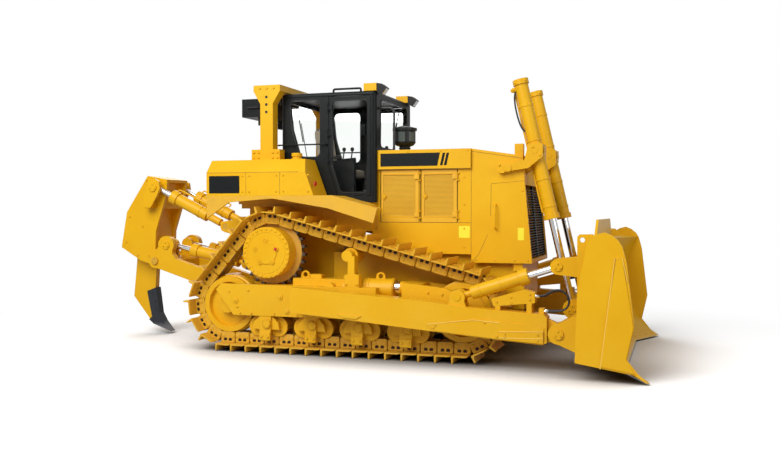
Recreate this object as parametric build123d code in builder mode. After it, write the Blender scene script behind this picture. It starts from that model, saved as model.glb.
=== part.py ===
"""Crawler bulldozer with a semi-universal blade and a single-shank ripper.

Millimetres.  +X is forward, +Y is the machine's left, +Z is up.  The origin lies on the
ground under the middle of the machine, and the grouser tips stand at z = 0.
"""
import os
from math import atan2, cos, degrees, hypot, pi, radians, sin, sqrt, tan

from build123d import *

# ---------------------------------------------------------------- driving dimensions
RUNNING = 0.1            # radial clearance of a pin in its bore and a rod in its gland
SIDE_GAP = 6.0           # side clearance of an eye between its ears
SEAT = 0.3               # gap between curved pieces that only lie beside each other

# tracks
TRACK_GAUGE = 2083.0     # between the track centres
SHOE_WIDTH = 560.0
SHOE_COUNT = 45
LINK_PITCH = 215.9
GROUSER_HEIGHT = 80.0
GROUSER_WIDTH = 22.0
SHOE_PLATE = 16.0
LINK_PHASE = 0.9         # share of a link that the first one has moved round the loop
SHOE_GAP = 8.0           # between neighbouring shoe plates on a straight run
LINK_ABOVE_PIN = 84.0    # from the pin line to the rail that the rollers run on
LINK_BELOW_PIN = 62.0    # from the pin line to the shoe plate
RAIL_WIDTH = 48.0
RAIL_OFFSET = 100.0      # from the track centre to the middle of each rail

# wheels inside the tracks
IDLER_RADIUS = 370.0     # tread
IDLER_FLANGE = 22.0      # the middle flange stands this far above the tread
REAR_IDLER_X = -1575.0
SPROCKET_X, SPROCKET_Z = -965.0, 1320.0
SPROCKET_TEETH = 27
SPROCKET_PIN_RADIUS = 456.0
SPROCKET_WIDTH = 84.0
HUB_RADIUS = 335.0
ROLLER_RADIUS = 100.0
ROLLER_FLANGE = 135.0
ROLLER_SPREAD = 145.0    # each bogie carries a roller this far to each side of its pin
BOGIE_X = (-982.0, -336.0, 304.0, 950.0)
CARRIER_X = 219.0
CARRIER_RADIUS = 100.0

# track frames
FRAME_OUTER = 1300.0     # outer face, from the machine's middle
FRAME_INNER = 800.0
FRAME_TOP, FRAME_BOTTOM = 895.0, 489.0
RECOIL_RADIUS = 135.0
RECOIL_Z = 866.0

# tractor
BODY_HALF = 680.0        # hood and engine doors
CASE_HALF = 420.0        # transmission case
BELLY_Z = 610.0
DECK_TOP = 2065.0
DOOR_THICK = 30.0
DOOR_Z = (1720.0, 2410.0)
DOOR_X = ((422.0, 939.0), (981.0, 1451.0))
HOOD_X = (300.0, 2303.0)
HOOD_Z = (2410.0, 2665.0)
HOOD_PANEL_Z = 2682.0
TANK_OUTER = 1300.0
TANK_Z = (DECK_TOP, 2545.0)

# cab and roll bar
CAB_HALF = 800.0
CAB_X = (-975.0, 385.0)
CAB_Z = (1980.0, 3450.0)
CAB_WALL = 45.0
CAB_DOOR_X = (-275.0, 315.0)
CAB_DOOR_Z = (2072.0, 3385.0)
ROPS_X = (-1275.0, -885.0)
ROPS_HALF = 1023.0
MACHINE_HEIGHT = 3549.0

# blade and push arms
BLADE_WIDTH = 3940.0
TRUNNION = (-325.0, 745.0)
ARM_INNER, ARM_OUTER = 1380.0, 1600.0
PITCH_PIN = (2870.0, 455.0)
PITCH_PIN_RADIUS = 60.0
WING_START = 1290.0      # the wings sweep forward from here
WING_SWEEP = 290.0

# lift, tilt and ripper cylinders: pivot and eye as (x, z)
LIFT_Y = 607.0
LIFT_PIVOT = (2462.0, 2620.0)
LIFT_EYE = (2921.6, 650.0)
TILT_REAR = (1678.0, 839.0)
TILT_EYE = (2863.0, 1226.0)
TILT_Y = 1490.0          # in the middle of the push arm's width
RIPPER_PIVOT = (-1775.0, 720.0)
CARRIAGE_PIVOT = (-3215.0, 1130.0)
RIP_LIFT_BASE = (-1750.0, 1104.0)
RIP_LIFT_EYE = (-3031.0, 1365.0)
RIP_LIFT_Y = 265.0
RIP_PITCH_BASE = (-2032.0, 1640.0)
RIP_PITCH_EYE = (-3233.0, 2220.0)
RIP_PITCH_Y = 350.0

# ---------------------------------------------------------------- drawing helpers


def slab(points, y0, y1, mode=Mode.ADD):
    """A plate with an outline in X and Z that reaches from y0 to y1."""
    with BuildSketch(Plane.XZ.offset(-max(y0, y1))) as outline:
        with BuildLine():
            Polyline(*points, close=True)
        make_face()
    extrude(outline.sketch, amount=abs(y1 - y0), mode=mode)


def block(x, y, z, mode=Mode.ADD):
    """A box between two values on each axis."""
    with BuildSketch(Plane.XY.offset(min(z))) as base:
        with Locations(((x[0] + x[1]) / 2, (y[0] + y[1]) / 2)):
            Rectangle(abs(x[1] - x[0]), abs(y[1] - y[0]))
    extrude(base.sketch, amount=abs(z[1] - z[0]), mode=mode)


def disc(centre, radius, y0, y1, mode=Mode.ADD):
    """A round pin, boss or wheel whose axis lies along Y."""
    with BuildSketch(Plane.XZ.offset(-max(y0, y1))) as circle:
        with Locations(centre):
            Circle(radius)
    extrude(circle.sketch, amount=abs(y1 - y0), mode=mode)


def bar(start, end, radius, mode=Mode.ADD):
    """A round bar between two points."""
    axis = Vector(*end) - Vector(*start)
    with BuildSketch(Plane(origin=start, z_dir=axis)) as circle:
        Circle(radius)
    extrude(circle.sketch, amount=axis.length, mode=mode)


def along(start, end, distance):
    """The point at a distance from start on the way to end."""
    axis = (Vector(*end) - Vector(*start)).normalized()
    return tuple(Vector(*start) + axis * distance)


def both(part):
    """A right-hand piece and its mirror image on the left."""
    add(part)
    mirror(part, about=Plane.XZ)


def rounded(points, radius, y0, y1, mode=Mode.ADD):
    """A plate like slab's whose outline has rounded corners."""
    with BuildSketch(Plane.XZ.offset(-max(y0, y1))) as outline:
        with BuildLine():
            Polyline(*points, close=True)
        make_face()
        fillet(outline.vertices(), radius)
    extrude(outline.sketch, amount=abs(y1 - y0), mode=mode)


def crosswise(points, radius, x0, x1, mode=Mode.ADD):
    """A plate across the machine, with a rounded outline in Y and Z."""
    with BuildSketch(Plane.YZ.offset(min(x0, x1))) as outline:
        with BuildLine():
            Polyline(*points, close=True)
        make_face()
        fillet(outline.vertices(), radius)
    extrude(outline.sketch, amount=abs(x1 - x0), mode=mode)


def wheel(centre, profile):
    """A wheel about a Y axis on the right track's middle, from half its section."""
    hub = (centre[0], -TRACK_Y, centre[1])
    with BuildSketch(Plane(origin=hub, x_dir=(1, 0, 0), z_dir=(0, 0, 1))) as half:
        with BuildLine():
            Polyline(*profile, close=True)
        make_face()
    revolve(half.sketch, axis=Axis(hub, (0, 1, 0)))


def turned(x, y, profile, mode=Mode.ADD):
    """A round piece about an upright axis, from half its section as (radius, z)."""
    with BuildSketch(Plane.XZ.offset(-y)) as half:
        with BuildLine():
            Polyline(*[(x + radius, z) for radius, z in profile], close=True)
        make_face()
    revolve(half.sketch, axis=Axis((x, y, 0), (0, 0, 1)), mode=mode)


def at(pivot, y):
    """The point (x, z) of a side view, at a given y."""
    return (pivot[0], y, pivot[1])


# ---------------------------------------------------------------- track loop
IDLER_Z = GROUSER_HEIGHT + SHOE_PLATE + LINK_BELOW_PIN + LINK_ABOVE_PIN + IDLER_RADIUS
TRACK_Y = TRACK_GAUGE / 2
LOOP_IDLER_RADIUS = IDLER_RADIUS + LINK_ABOVE_PIN


def leg(a, b):
    """The straight run between two wheels (x, z, r), walked anticlockwise."""
    dx, dz = b[0] - a[0], b[1] - a[1]
    length = hypot(dx, dz)
    lean = (a[2] - b[2]) / length
    out = sqrt(1 - lean * lean)
    nx = (dx * lean + dz * out) / length
    nz = (dz * lean - dx * out) / length
    start = (a[0] + a[2] * nx, a[1] + a[2] * nz)
    end = (b[0] + b[2] * nx, b[1] + b[2] * nz)
    return start, end, (nx, nz)


def loop_runs(front_x):
    """Each run of the loop as its straight leg and the arc that follows it."""
    wheels = [
        (REAR_IDLER_X, IDLER_Z, LOOP_IDLER_RADIUS),
        (front_x, IDLER_Z, LOOP_IDLER_RADIUS),
        (SPROCKET_X, SPROCKET_Z, SPROCKET_PIN_RADIUS),
    ]
    legs = [leg(wheels[i], wheels[(i + 1) % 3]) for i in range(3)]
    runs = []
    for i, (start, end, normal) in enumerate(legs):
        after = legs[(i + 1) % 3][2]
        turn = (atan2(after[1], after[0]) - atan2(normal[1], normal[0])) % (2 * pi)
        runs.append((start, end, normal, wheels[(i + 1) % 3], turn))
    return runs


def loop_length(front_x):
    """The length of the loop, for one place of the front idler."""
    return sum(
        hypot(end[0] - start[0], end[1] - start[1]) + wheel[2] * turn
        for start, end, normal, wheel, turn in loop_runs(front_x)
    )


# the front idler stands where the loop takes exactly its number of links
near_x, far_x = SPROCKET_X + 1200.0, SPROCKET_X + 4200.0
for _ in range(60):
    FRONT_IDLER_X = (near_x + far_x) / 2
    if loop_length(FRONT_IDLER_X) > SHOE_COUNT * LINK_PITCH:
        far_x = FRONT_IDLER_X
    else:
        near_x = FRONT_IDLER_X


def link_place(distance):
    """The middle of a link on the loop: x, z and the heading in degrees."""
    for start, end, normal, wheel, turn in loop_runs(FRONT_IDLER_X):
        length = hypot(end[0] - start[0], end[1] - start[1])
        if distance <= length:
            share = distance / length
            x = start[0] + share * (end[0] - start[0])
            z = start[1] + share * (end[1] - start[1])
            return x, z, degrees(atan2(normal[0], -normal[1]))
        distance -= length
        if distance <= wheel[2] * turn:
            angle = atan2(normal[1], normal[0]) + distance / wheel[2]
            x = wheel[0] + wheel[2] * cos(angle)
            z = wheel[1] + wheel[2] * sin(angle)
            return x, z, degrees(atan2(cos(angle), -sin(angle)))
        distance -= wheel[2] * turn
    return link_place(distance)


LINKS = [link_place((i + LINK_PHASE) * LINK_PITCH) for i in range(SHOE_COUNT)]


def link_corner(a, b, inward):
    """Where two neighbouring links' lines meet, moved inward from the pin line."""
    ta, tb = radians(a[2]), radians(b[2])
    ax, az = a[0] - inward * sin(ta), a[1] + inward * cos(ta)
    bx, bz = b[0] - inward * sin(tb), b[1] + inward * cos(tb)
    cross = cos(ta) * sin(tb) - sin(ta) * cos(tb)
    if abs(cross) < 0.001:
        return (ax + bx) / 2, (az + bz) / 2
    step = ((bx - ax) * sin(tb) - (bz - az) * cos(tb)) / cross
    return ax + step * cos(ta), az + step * sin(ta)


def loop_outline(inward):
    """The chain's outline at one height over the pin line."""
    return [
        link_corner(LINKS[i - 1], LINKS[i], inward) for i in range(SHOE_COUNT)
    ]


with BuildPart() as track_right:
    for rail_y in (-TRACK_Y - RAIL_OFFSET, -TRACK_Y + RAIL_OFFSET):
        slab(loop_outline(-LINK_BELOW_PIN), rail_y - RAIL_WIDTH / 2, rail_y + RAIL_WIDTH / 2)
        slab(
            loop_outline(LINK_ABOVE_PIN),
            rail_y - RAIL_WIDTH / 2,
            rail_y + RAIL_WIDTH / 2,
            mode=Mode.SUBTRACT,
        )
    PLATE_HALF = (LINK_PITCH - SHOE_GAP) / 2
    PLATE_IN, PLATE_OUT = -LINK_BELOW_PIN, -LINK_BELOW_PIN - SHOE_PLATE
    GROUSER_OUT = PLATE_OUT - GROUSER_HEIGHT
    SHOE_PROFILE = [
        (-PLATE_HALF, PLATE_IN),
        (-PLATE_HALF, GROUSER_OUT),
        (-PLATE_HALF + GROUSER_WIDTH, GROUSER_OUT),
        (-PLATE_HALF + GROUSER_WIDTH, PLATE_OUT),
        (PLATE_HALF, PLATE_OUT),
        (PLATE_HALF, PLATE_IN),
    ]
    with BuildSketch(Plane.XZ.offset(TRACK_Y - SHOE_WIDTH / 2)) as shoes:
        for x, z, heading in LINKS:
            with Locations(Location((x, z, 0), (0, 0, heading))):
                Polygon(*SHOE_PROFILE, align=None)
    extrude(shoes.sketch, amount=SHOE_WIDTH)

with BuildPart() as track_left:
    mirror(track_right.part, about=Plane.XZ)

# ---------------------------------------------------------------- wheels in the tracks
with BuildPart() as sprocket_one:
    disc((SPROCKET_X, SPROCKET_Z), SPROCKET_PIN_RADIUS - 34,
         -TRACK_Y - SPROCKET_WIDTH / 2, -TRACK_Y + SPROCKET_WIDTH / 2)
    TOOTH = [(-34, -60), (-12, 30), (12, 30), (34, -60)]
    with BuildSketch(Plane.XZ.offset(TRACK_Y - SPROCKET_WIDTH / 2)) as teeth:
        for i in range(SPROCKET_TEETH):
            turn = 360.0 * i / SPROCKET_TEETH
            base = SPROCKET_PIN_RADIUS - 20
            spot = Location(
                (SPROCKET_X - base * sin(radians(turn)),
                 SPROCKET_Z + base * cos(radians(turn)), 0),
                (0, 0, turn),
            )
            with Locations(spot):
                Polygon(*TOOTH, align=None)
    extrude(teeth.sketch, amount=SPROCKET_WIDTH)
    disc((SPROCKET_X, SPROCKET_Z), HUB_RADIUS - 60, -TRACK_Y - 50, -TRACK_Y + 50,
         mode=Mode.SUBTRACT)

with BuildPart() as sprockets:
    both(sprocket_one.part)

COVER_RADIUS, COVER_LOBES = 150.0, 5
with BuildPart() as final_drive_one:
    disc((SPROCKET_X, SPROCKET_Z), HUB_RADIUS, -1290, -TRACK_Y - SPROCKET_WIDTH / 2)
    disc((SPROCKET_X, SPROCKET_Z), HUB_RADIUS - 60 - SEAT,
         -TRACK_Y - SPROCKET_WIDTH / 2, -TRACK_Y + SPROCKET_WIDTH / 2)
    disc((SPROCKET_X, SPROCKET_Z), HUB_RADIUS - 60, -TRACK_Y + SPROCKET_WIDTH / 2, -860)
    disc((SPROCKET_X, SPROCKET_Z), HUB_RADIUS - 120, -860, -CASE_HALF)
    disc((SPROCKET_X, SPROCKET_Z), COVER_RADIUS, -1302, -1290)
    for i in range(COVER_LOBES):
        angle = radians(90 + 360 * i / COVER_LOBES)
        lobe = (SPROCKET_X + COVER_RADIUS * cos(angle), SPROCKET_Z + COVER_RADIUS * sin(angle))
        disc(lobe, 38, -1302, -1290)

with BuildPart() as final_drives:
    both(final_drive_one.part)

TREAD = IDLER_RADIUS - SEAT
IDLER_PROFILE = [        # radius, distance from the track's middle
    (0, -140), (120, -140), (135, -75), (290, -62), (300, -124), (TREAD, -124), (TREAD, -62),
    (IDLER_RADIUS + IDLER_FLANGE, -52), (IDLER_RADIUS + IDLER_FLANGE, 52), (TREAD, 62),
    (TREAD, 124), (300, 124), (290, 62), (135, 75), (120, 140), (0, 140),
]
with BuildPart() as idler_set:
    for idler_x in (REAR_IDLER_X, FRONT_IDLER_X):
        wheel((idler_x, IDLER_Z), IDLER_PROFILE)

with BuildPart() as idlers:
    both(idler_set.part)

ROLLER_Z = GROUSER_HEIGHT + SHOE_PLATE + LINK_BELOW_PIN + LINK_ABOVE_PIN + ROLLER_RADIUS
ROLLER_PROFILE = [       # radius, distance from the track's middle
    (0, -165), (40, -165), (40, -150), (ROLLER_FLANGE - 5, -150), (ROLLER_FLANGE, -134),
    (ROLLER_RADIUS, -127), (ROLLER_RADIUS, 127), (ROLLER_FLANGE, 134),
    (ROLLER_FLANGE - 5, 150), (40, 150), (40, 165), (0, 165),
]
with BuildPart() as roller_set:
    for bogie_x in BOGIE_X:
        for roller_x in (bogie_x - ROLLER_SPREAD, bogie_x + ROLLER_SPREAD):
            wheel((roller_x, ROLLER_Z + SEAT), ROLLER_PROFILE)

with BuildPart() as track_rollers:
    both(roller_set.part)

# ---------------------------------------------------------------- track frames
FORK_OUTER_IN, FORK_INNER_IN = -FRAME_OUTER + 75, -FRAME_INNER - 60
FRAME_BOSSES = (((-1407, 686), 42), ((-759, 746), 40), ((-660, 560), 34))   # place, radius
REAR_END = [(-1441, 489), (-1700, 820), (-1625, 900), (-1130, 895), (-1130, 489)]
FRONT_END = [
    (900, 973), (1470, 916), (1720, 760), (1720, 540), (1560, 450), (1200, 450), (1160, 489),
    (900, 489),
]
with BuildPart() as track_frame_right:
    block((-1130, 560), (-FRAME_OUTER, -FRAME_INNER), (FRAME_BOTTOM, FRAME_TOP))
    block((560, 1130), (-FRAME_OUTER, -FRAME_INNER), (FRAME_BOTTOM, 720))
    slab([(900, 973), (1130, 950), (1130, 489), (900, 489)], -FRAME_OUTER, -FRAME_INNER)
    for y0, y1 in ((-FRAME_OUTER, FORK_OUTER_IN), (FORK_INNER_IN, -FRAME_INNER)):
        slab(REAR_END, y0, y1)
        slab(FRONT_END, y0, y1)
    for idler_x, root_x in ((REAR_IDLER_X, -1130), (FRONT_IDLER_X, 1130)):
        for y0, y1 in (
            (FORK_OUTER_IN, -TRACK_Y - 140),
            (-TRACK_Y + 140, FORK_INNER_IN),
        ):
            disc((idler_x, IDLER_Z), 110, y0, y1)
            slab(
                [(root_x, 520), (idler_x, 520), (idler_x, 700), (root_x, 760)], y0, y1
            )
    disc((SPROCKET_X, SPROCKET_Z), SPROCKET_PIN_RADIUS + 34, -TRACK_Y - 60, -TRACK_Y + 60,
         mode=Mode.SUBTRACT)
    bar((60, -TRACK_Y, RECOIL_Z), (740, -TRACK_Y, RECOIL_Z), RECOIL_RADIUS)
    bar((740, -TRACK_Y, 888), (900, -TRACK_Y, 888), 83)
    disc(TRUNNION, 146, -FRAME_OUTER - 40, -FRAME_OUTER)
    disc(TRUNNION, 70, -ARM_OUTER + 50, -FRAME_OUTER)
    for centre, radius in FRAME_BOSSES:
        disc(centre, radius, -FRAME_OUTER - 10, -FRAME_OUTER)
    for eye_x in (-506, 543):
        disc((eye_x, 1020), 62, -TRACK_Y - 14, -TRACK_Y + 14)
        block((eye_x - 62, eye_x + 62), (-TRACK_Y - 14, -TRACK_Y + 14), (FRAME_TOP - 40, 1020))
        disc((eye_x, 1030), 30, -TRACK_Y - 14, -TRACK_Y + 14, mode=Mode.SUBTRACT)
    block((-640, 80), (-TRACK_Y - 115, -TRACK_Y + 115), (FRAME_TOP - 20, 985))
    block((-417, -258), (-TRACK_Y - 60, -TRACK_Y + 60), (980, 1036))
    disc((-91, 880), 66, -1262, -TRACK_Y)

with BuildPart() as track_frame_left:
    mirror(track_frame_right.part, about=Plane.XZ)

with BuildPart() as bogie_set:
    for bogie_x in BOGIE_X:
        hanger = [
            (bogie_x - 86, FRAME_BOTTOM), (bogie_x - 78, 250), (bogie_x - 70, 162),
            (bogie_x + 70, 162), (bogie_x + 78, 250), (bogie_x + 86, FRAME_BOTTOM),
        ]
        beam = [
            (bogie_x - ROLLER_SPREAD - 50, 310), (bogie_x + ROLLER_SPREAD + 50, 310),
            (bogie_x + ROLLER_SPREAD + 30, 400), (bogie_x + 90, FRAME_BOTTOM),
            (bogie_x - 90, FRAME_BOTTOM), (bogie_x - ROLLER_SPREAD - 30, 400),
        ]
        slab(hanger, -1292, -1264)
        disc((bogie_x + 26, 388), 62, -1308, -1292)
        block((bogie_x - 76, bogie_x + 76), (-1306, -1292), (172, 270))
        slab(beam, -1264, -TRACK_Y - 175)
        slab(beam, -TRACK_Y + 175, -820)

with BuildPart() as bogies:
    both(bogie_set.part)

RUN_START, RUN_END, RUN_NORMAL = loop_runs(FRONT_IDLER_X)[1][:3]
RUN_SHARE = (CARRIER_X - RUN_START[0]) / (RUN_END[0] - RUN_START[0])
CARRIER_DROP = LINK_ABOVE_PIN + CARRIER_RADIUS + SEAT
CARRIER = (
    CARRIER_X - CARRIER_DROP * RUN_NORMAL[0],
    RUN_START[1] + RUN_SHARE * (RUN_END[1] - RUN_START[1]) - CARRIER_DROP * RUN_NORMAL[1],
)
CARRIER_POST = [(135, FRAME_TOP), (135, 1050), (183, 1066), (183, CARRIER[1]),
                (275, CARRIER[1]), (275, 1066), (332, 1050), (332, FRAME_TOP)]
with BuildPart() as carrier_one:
    disc(CARRIER, CARRIER_RADIUS, -TRACK_Y - 124, -TRACK_Y + 124)
    disc(CARRIER, 45, -1262, -TRACK_Y)
    slab(CARRIER_POST, -1298, -1180)
    disc(CARRIER, 72, -1298, -1180)

with BuildPart() as carrier_rollers:
    both(carrier_one.part)

# ---------------------------------------------------------------- main frame and engine
EARS_LOW = [(-1600, 610), (-1775, 615), (-1860, 650), (-1885, 720), (-1860, 790), (-1775, 825),
            (-1600, 840)]
EARS_MIDDLE = [(-1600, 990), (-1750, 1025), (-1805, 1050), (-1828, 1104), (-1805, 1158),
               (-1750, 1183), (-1600, 1210)]
EARS_HIGH = [(-1600, 1470), (-2032, 1560), (-2090, 1585), (-2112, 1640), (-2090, 1700),
             (-2032, 1720), (-1600, 1780)]
with BuildPart() as main_frame:
    block((-1600, -200), (-CASE_HALF, CASE_HALF), (BELLY_Z, 1900))
    block((-1500, 300), (-700, 700), (1600, 1900))
    block((-300, 2300), (-560, 560), (BELLY_Z, BELLY_Z + 70))
    for y in (-560, 480):
        block((-300, 2300), (y, y + 80), (BELLY_Z, 1310))
    block((2200, 2300), (-560, 560), (BELLY_Z, 1200))
    block((-260, -140), (-FRAME_INNER, FRAME_INNER), (640, 820))
    block((980, 1080), (-FRAME_INNER, FRAME_INNER), (660, 800))
    block((2180, 2300), (-640, 640), (1100, 1258))
    for side_sign in (-1, 1):
        for outline, near, far, bore, centre in (
            (EARS_LOW, 240, 300, 60, RIPPER_PIVOT),
            (EARS_MIDDLE, 180, 221, 38, RIP_LIFT_BASE),
            (EARS_MIDDLE, 309, 350, 38, RIP_LIFT_BASE),
            (EARS_HIGH, 260, 306, 45, RIP_PITCH_BASE),
            (EARS_HIGH, 394, 440, 45, RIP_PITCH_BASE),
        ):
            slab(outline, side_sign * near, side_sign * far)
            disc(centre, bore + RUNNING, side_sign * near, side_sign * far, mode=Mode.SUBTRACT)

with BuildPart() as engine:
    block((340, 1560), (-330, 330), (800, 1980))

HINGE_OUT = 17.0         # the hinge lines stand this far outside the face of a door
HINGE_RADIUS, HINGE_PIN = 12.0, 6.0
DOOR_EDGE = 6.0          # gap round each door


def door_knuckle(x, y, toward, z):
    """A door's bored knuckle at a hinge line x outside its face y, and its leaf."""
    axis = (x, y - HINGE_OUT)
    block((x, x + toward * 60), (y - HINGE_OUT - 3, y), (z, z + 60))
    bar((*axis, z), (*axis, z + 60), HINGE_RADIUS)
    bar((*axis, z), (*axis, z + 60), HINGE_PIN + RUNNING, mode=Mode.SUBTRACT)


def hinge_post(x, y, toward, z):
    """The pin of one knuckle with the two lugs that hold it to the frame."""
    axis = (x, y - HINGE_OUT)
    bar((*axis, z - 25), (*axis, z + 85), HINGE_PIN)
    for low in (z - 25, z + 65):
        bar((*axis, low), (*axis, low + 20), HINGE_RADIUS)
        block((x - toward * 3, x - toward * 27), (y - HINGE_OUT - 5, y), (low, low + 20))


ENGINE_HINGES = (1790.0, 2280.0)
CAB_HINGES = (2530.0, 2870.0, 3210.0)
with BuildPart() as side_panel_right:
    block((300, 1640), (-BODY_HALF, -BODY_HALF + DOOR_THICK), (1310, DOOR_Z[0] - DOOR_EDGE))
    block((1457, 1640), (-BODY_HALF, -BODY_HALF + DOOR_THICK), (1700, DOOR_Z[1]))
    block((300, 416), (-BODY_HALF, -BODY_HALF + DOOR_THICK), (1700, DOOR_Z[1]))
    block((939, 975), (-BODY_HALF + DOOR_THICK + 6, -BODY_HALF + 66), (1600, DOOR_Z[1]))
    block((945, 975), (-BODY_HALF, -BODY_HALF + 66), (1600, DOOR_Z[1]))
    for edge in (945, 1457):
        for z in ENGINE_HINGES:
            hinge_post(edge - 3, -BODY_HALF, -1, z)

with BuildPart() as side_panels:
    both(side_panel_right.part)
    block((300, 330), (-BODY_HALF, BODY_HALF), (1902, 2400))
    block((1600, 1640), (-BODY_HALF, BODY_HALF), (1314, 2400))

with BuildPart() as hood:
    block((HOOD_X[0], 1640), (-720, 720), HOOD_Z)
    block((HOOD_X[0], 1640), (-690, 690), (HOOD_Z[0], HOOD_Z[1] - 30), mode=Mode.SUBTRACT)
    slab([(1640, 2635), (1640, 2665), (2303, 2562), (2303, 2532)], -BODY_HALF, BODY_HALF)
    block((543, 1362), (-430, 430), (HOOD_Z[1], HOOD_PANEL_Z))
    block((2190, 2300), (-640, -560), (2545, 2715))

engine_door_parts = []
for door_x0, door_x1 in DOOR_X:
    with BuildPart() as engine_door:
        block((door_x0, door_x1), (-BODY_HALF, -BODY_HALF + DOOR_THICK),
              (DOOR_Z[0], DOOR_Z[1] - DOOR_EDGE))
        block((door_x0 + 30, door_x1 - 45), (-BODY_HALF, -BODY_HALF + 9),
              (1800, 2337), mode=Mode.SUBTRACT)
        for z in ENGINE_HINGES:
            door_knuckle(door_x1 + 3, -BODY_HALF, -1, z)
    engine_door_parts.append(engine_door.part)

with BuildPart() as engine_door_rear_right:
    add(engine_door_parts[0])
with BuildPart() as engine_door_front_right:
    add(engine_door_parts[1])
with BuildPart() as engine_door_rear_left:
    mirror(engine_door_parts[0], about=Plane.XZ)
with BuildPart() as engine_door_front_left:
    mirror(engine_door_parts[1], about=Plane.XZ)

GUARD_SIDE = [(1640, 1203), (2420, 1203), (2417, 1258), (2328, 2195), (2303, 2532), (1640, 2635)]
with BuildPart() as radiator_guard:
    for y in (-BODY_HALF, BODY_HALF - 40):
        slab(GUARD_SIDE, y, y + 40)
    slab([(2328, 2195), (2303, 2532), (2223, 2532), (2248, 2195)], -BODY_HALF, BODY_HALF)
    slab([(2420, 1203), (2417, 1258), (2330, 1258), (2330, 1203)], -BODY_HALF, BODY_HALF)

with BuildPart() as radiator_grille:
    for y in (-640, -20, 600):
        slab([(2400, 1262), (2314, 2190), (2284, 2190), (2370, 1262)], y, y + 40)
    for i in range(26):
        z = 1290 + 34 * i
        x = 2400 - (z - 1262) * 86 / 928
        slab([(x - 28, z), (x, z - 10), (x, z - 2), (x - 28, z + 8)], -640, 640)

# ---------------------------------------------------------------- deck, fenders and tanks
SKIRT = [
    (-1830, 1768), (-1503, 1979), (-868, 2028), (-90, 1899), (524, 1712), (577, 1898),
    (-40, DECK_TOP), (-1835, DECK_TOP),
]
DECK_LINE = [
    (-1835, DECK_TOP), (-40, DECK_TOP), (400, 1946), (400, 1920), (-50, DECK_TOP - 26),
    (-1835, DECK_TOP - 26),
]
with BuildPart() as platform:
    block((-1600, 300), (-750, 750), (1900, CAB_Z[0] - 20))
    block((-1600, 300), (-CAB_HALF - 40, CAB_HALF + 40), (CAB_Z[0] - 20, CAB_Z[0]))
    for side_sign in (-1, 1):
        slab(SKIRT, side_sign * TANK_OUTER, side_sign * (TANK_OUTER - 30))
        slab(DECK_LINE, side_sign * TANK_OUTER, side_sign * (CAB_HALF + 8))
        slab([(400, 1946), (577, 1898), (577, 1872), (400, 1920)],
             side_sign * TANK_OUTER, side_sign * (TANK_OUTER - 190))
        block((-1600, -50), (side_sign * (CAB_HALF + 8), side_sign * (CAB_HALF + 40)),
              (CAB_Z[0] - 20, DECK_TOP - 10))

TANK_END = [
    (-TANK_OUTER, TANK_Z[0]), (-TANK_OUTER, 2375), (-TANK_OUTER + 150, TANK_Z[1]),
    (-CAB_HALF - 28, TANK_Z[1]), (-CAB_HALF - 28, TANK_Z[0]),
]
with BuildPart() as tank_right:
    with BuildSketch(Plane.YZ.offset(-1835)) as tank_section:
        Polygon(*TANK_END, align=None)
    extrude(tank_section.sketch, amount=1550)
    slab([(-285, 2060), (-200, 2060), (-200, 2600), (-470, 2600), (-470, 2560)],
         -1400, -700, mode=Mode.SUBTRACT)
    block((-1835, -1000), (-CAB_HALF - 28, -5), TANK_Z)
    block((-1600, -1000), (-CAB_HALF, -5), (CAB_Z[0], DECK_TOP))

with BuildPart() as tank_left:
    mirror(tank_right.part, about=Plane.XZ)

# ---------------------------------------------------------------- cab
with BuildPart() as cab_right_hinges:
    for z in CAB_HINGES:
        hinge_post(CAB_DOOR_X[0] - 3, -CAB_HALF, 1, z)

SIDE_WINDOW = [(-838, 3345), (-405, 3345), (-405, 2595), (-690, 2600), (-800, 2960)]
FRONT_WINDOW = [(-600, 2720), (600, 2720), (570, 3350), (-570, 3350)]
REAR_WINDOW = [(-600, 2640), (600, 2640), (570, 3350), (-570, 3350)]
DOOR_SLANT_Z, DOOR_SLANT_X = 2470.0, -150.0    # the door's rear edge leans forward below here


def door_outline(grow):
    """The cab door's outline, made larger all round by grow."""
    return [
        (CAB_DOOR_X[0] - grow, CAB_DOOR_Z[1] + grow), (CAB_DOOR_X[1] + grow, CAB_DOOR_Z[1] + grow),
        (CAB_DOOR_X[1] + grow, CAB_DOOR_Z[0] - grow), (DOOR_SLANT_X - grow, CAB_DOOR_Z[0] - grow),
        (CAB_DOOR_X[0] - grow, DOOR_SLANT_Z),
    ]


with BuildPart() as cab_shell:
    block(CAB_X, (-CAB_HALF, CAB_HALF), CAB_Z)
    fillet(cab_shell.edges().filter_by(Axis.Z), 60)
    fillet(cab_shell.faces().sort_by(Axis.Z)[-1].edges(), 45)
    block((CAB_X[0] + CAB_WALL, CAB_X[1] - CAB_WALL), (-CAB_HALF + CAB_WALL, CAB_HALF - CAB_WALL),
          (CAB_Z[0] + 20, CAB_Z[1] - CAB_WALL), mode=Mode.SUBTRACT)
    slab(door_outline(DOOR_EDGE), -900, 900, mode=Mode.SUBTRACT)
    rounded(SIDE_WINDOW, 70, -900, 900, mode=Mode.SUBTRACT)
    crosswise(FRONT_WINDOW, 70, 300, 500, mode=Mode.SUBTRACT)
    crosswise(REAR_WINDOW, 70, -1100, -900, mode=Mode.SUBTRACT)
    block((295, 500), (-726, 726), (1900, 2670), mode=Mode.SUBTRACT)
    block((250, 295), (-CAB_HALF + CAB_WALL, CAB_HALF - CAB_WALL), (CAB_Z[0], 2700))
    block((250, CAB_X[1]), (-CAB_HALF + CAB_WALL, CAB_HALF - CAB_WALL), (2670, 2700))
    both(cab_right_hinges.part)

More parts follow.
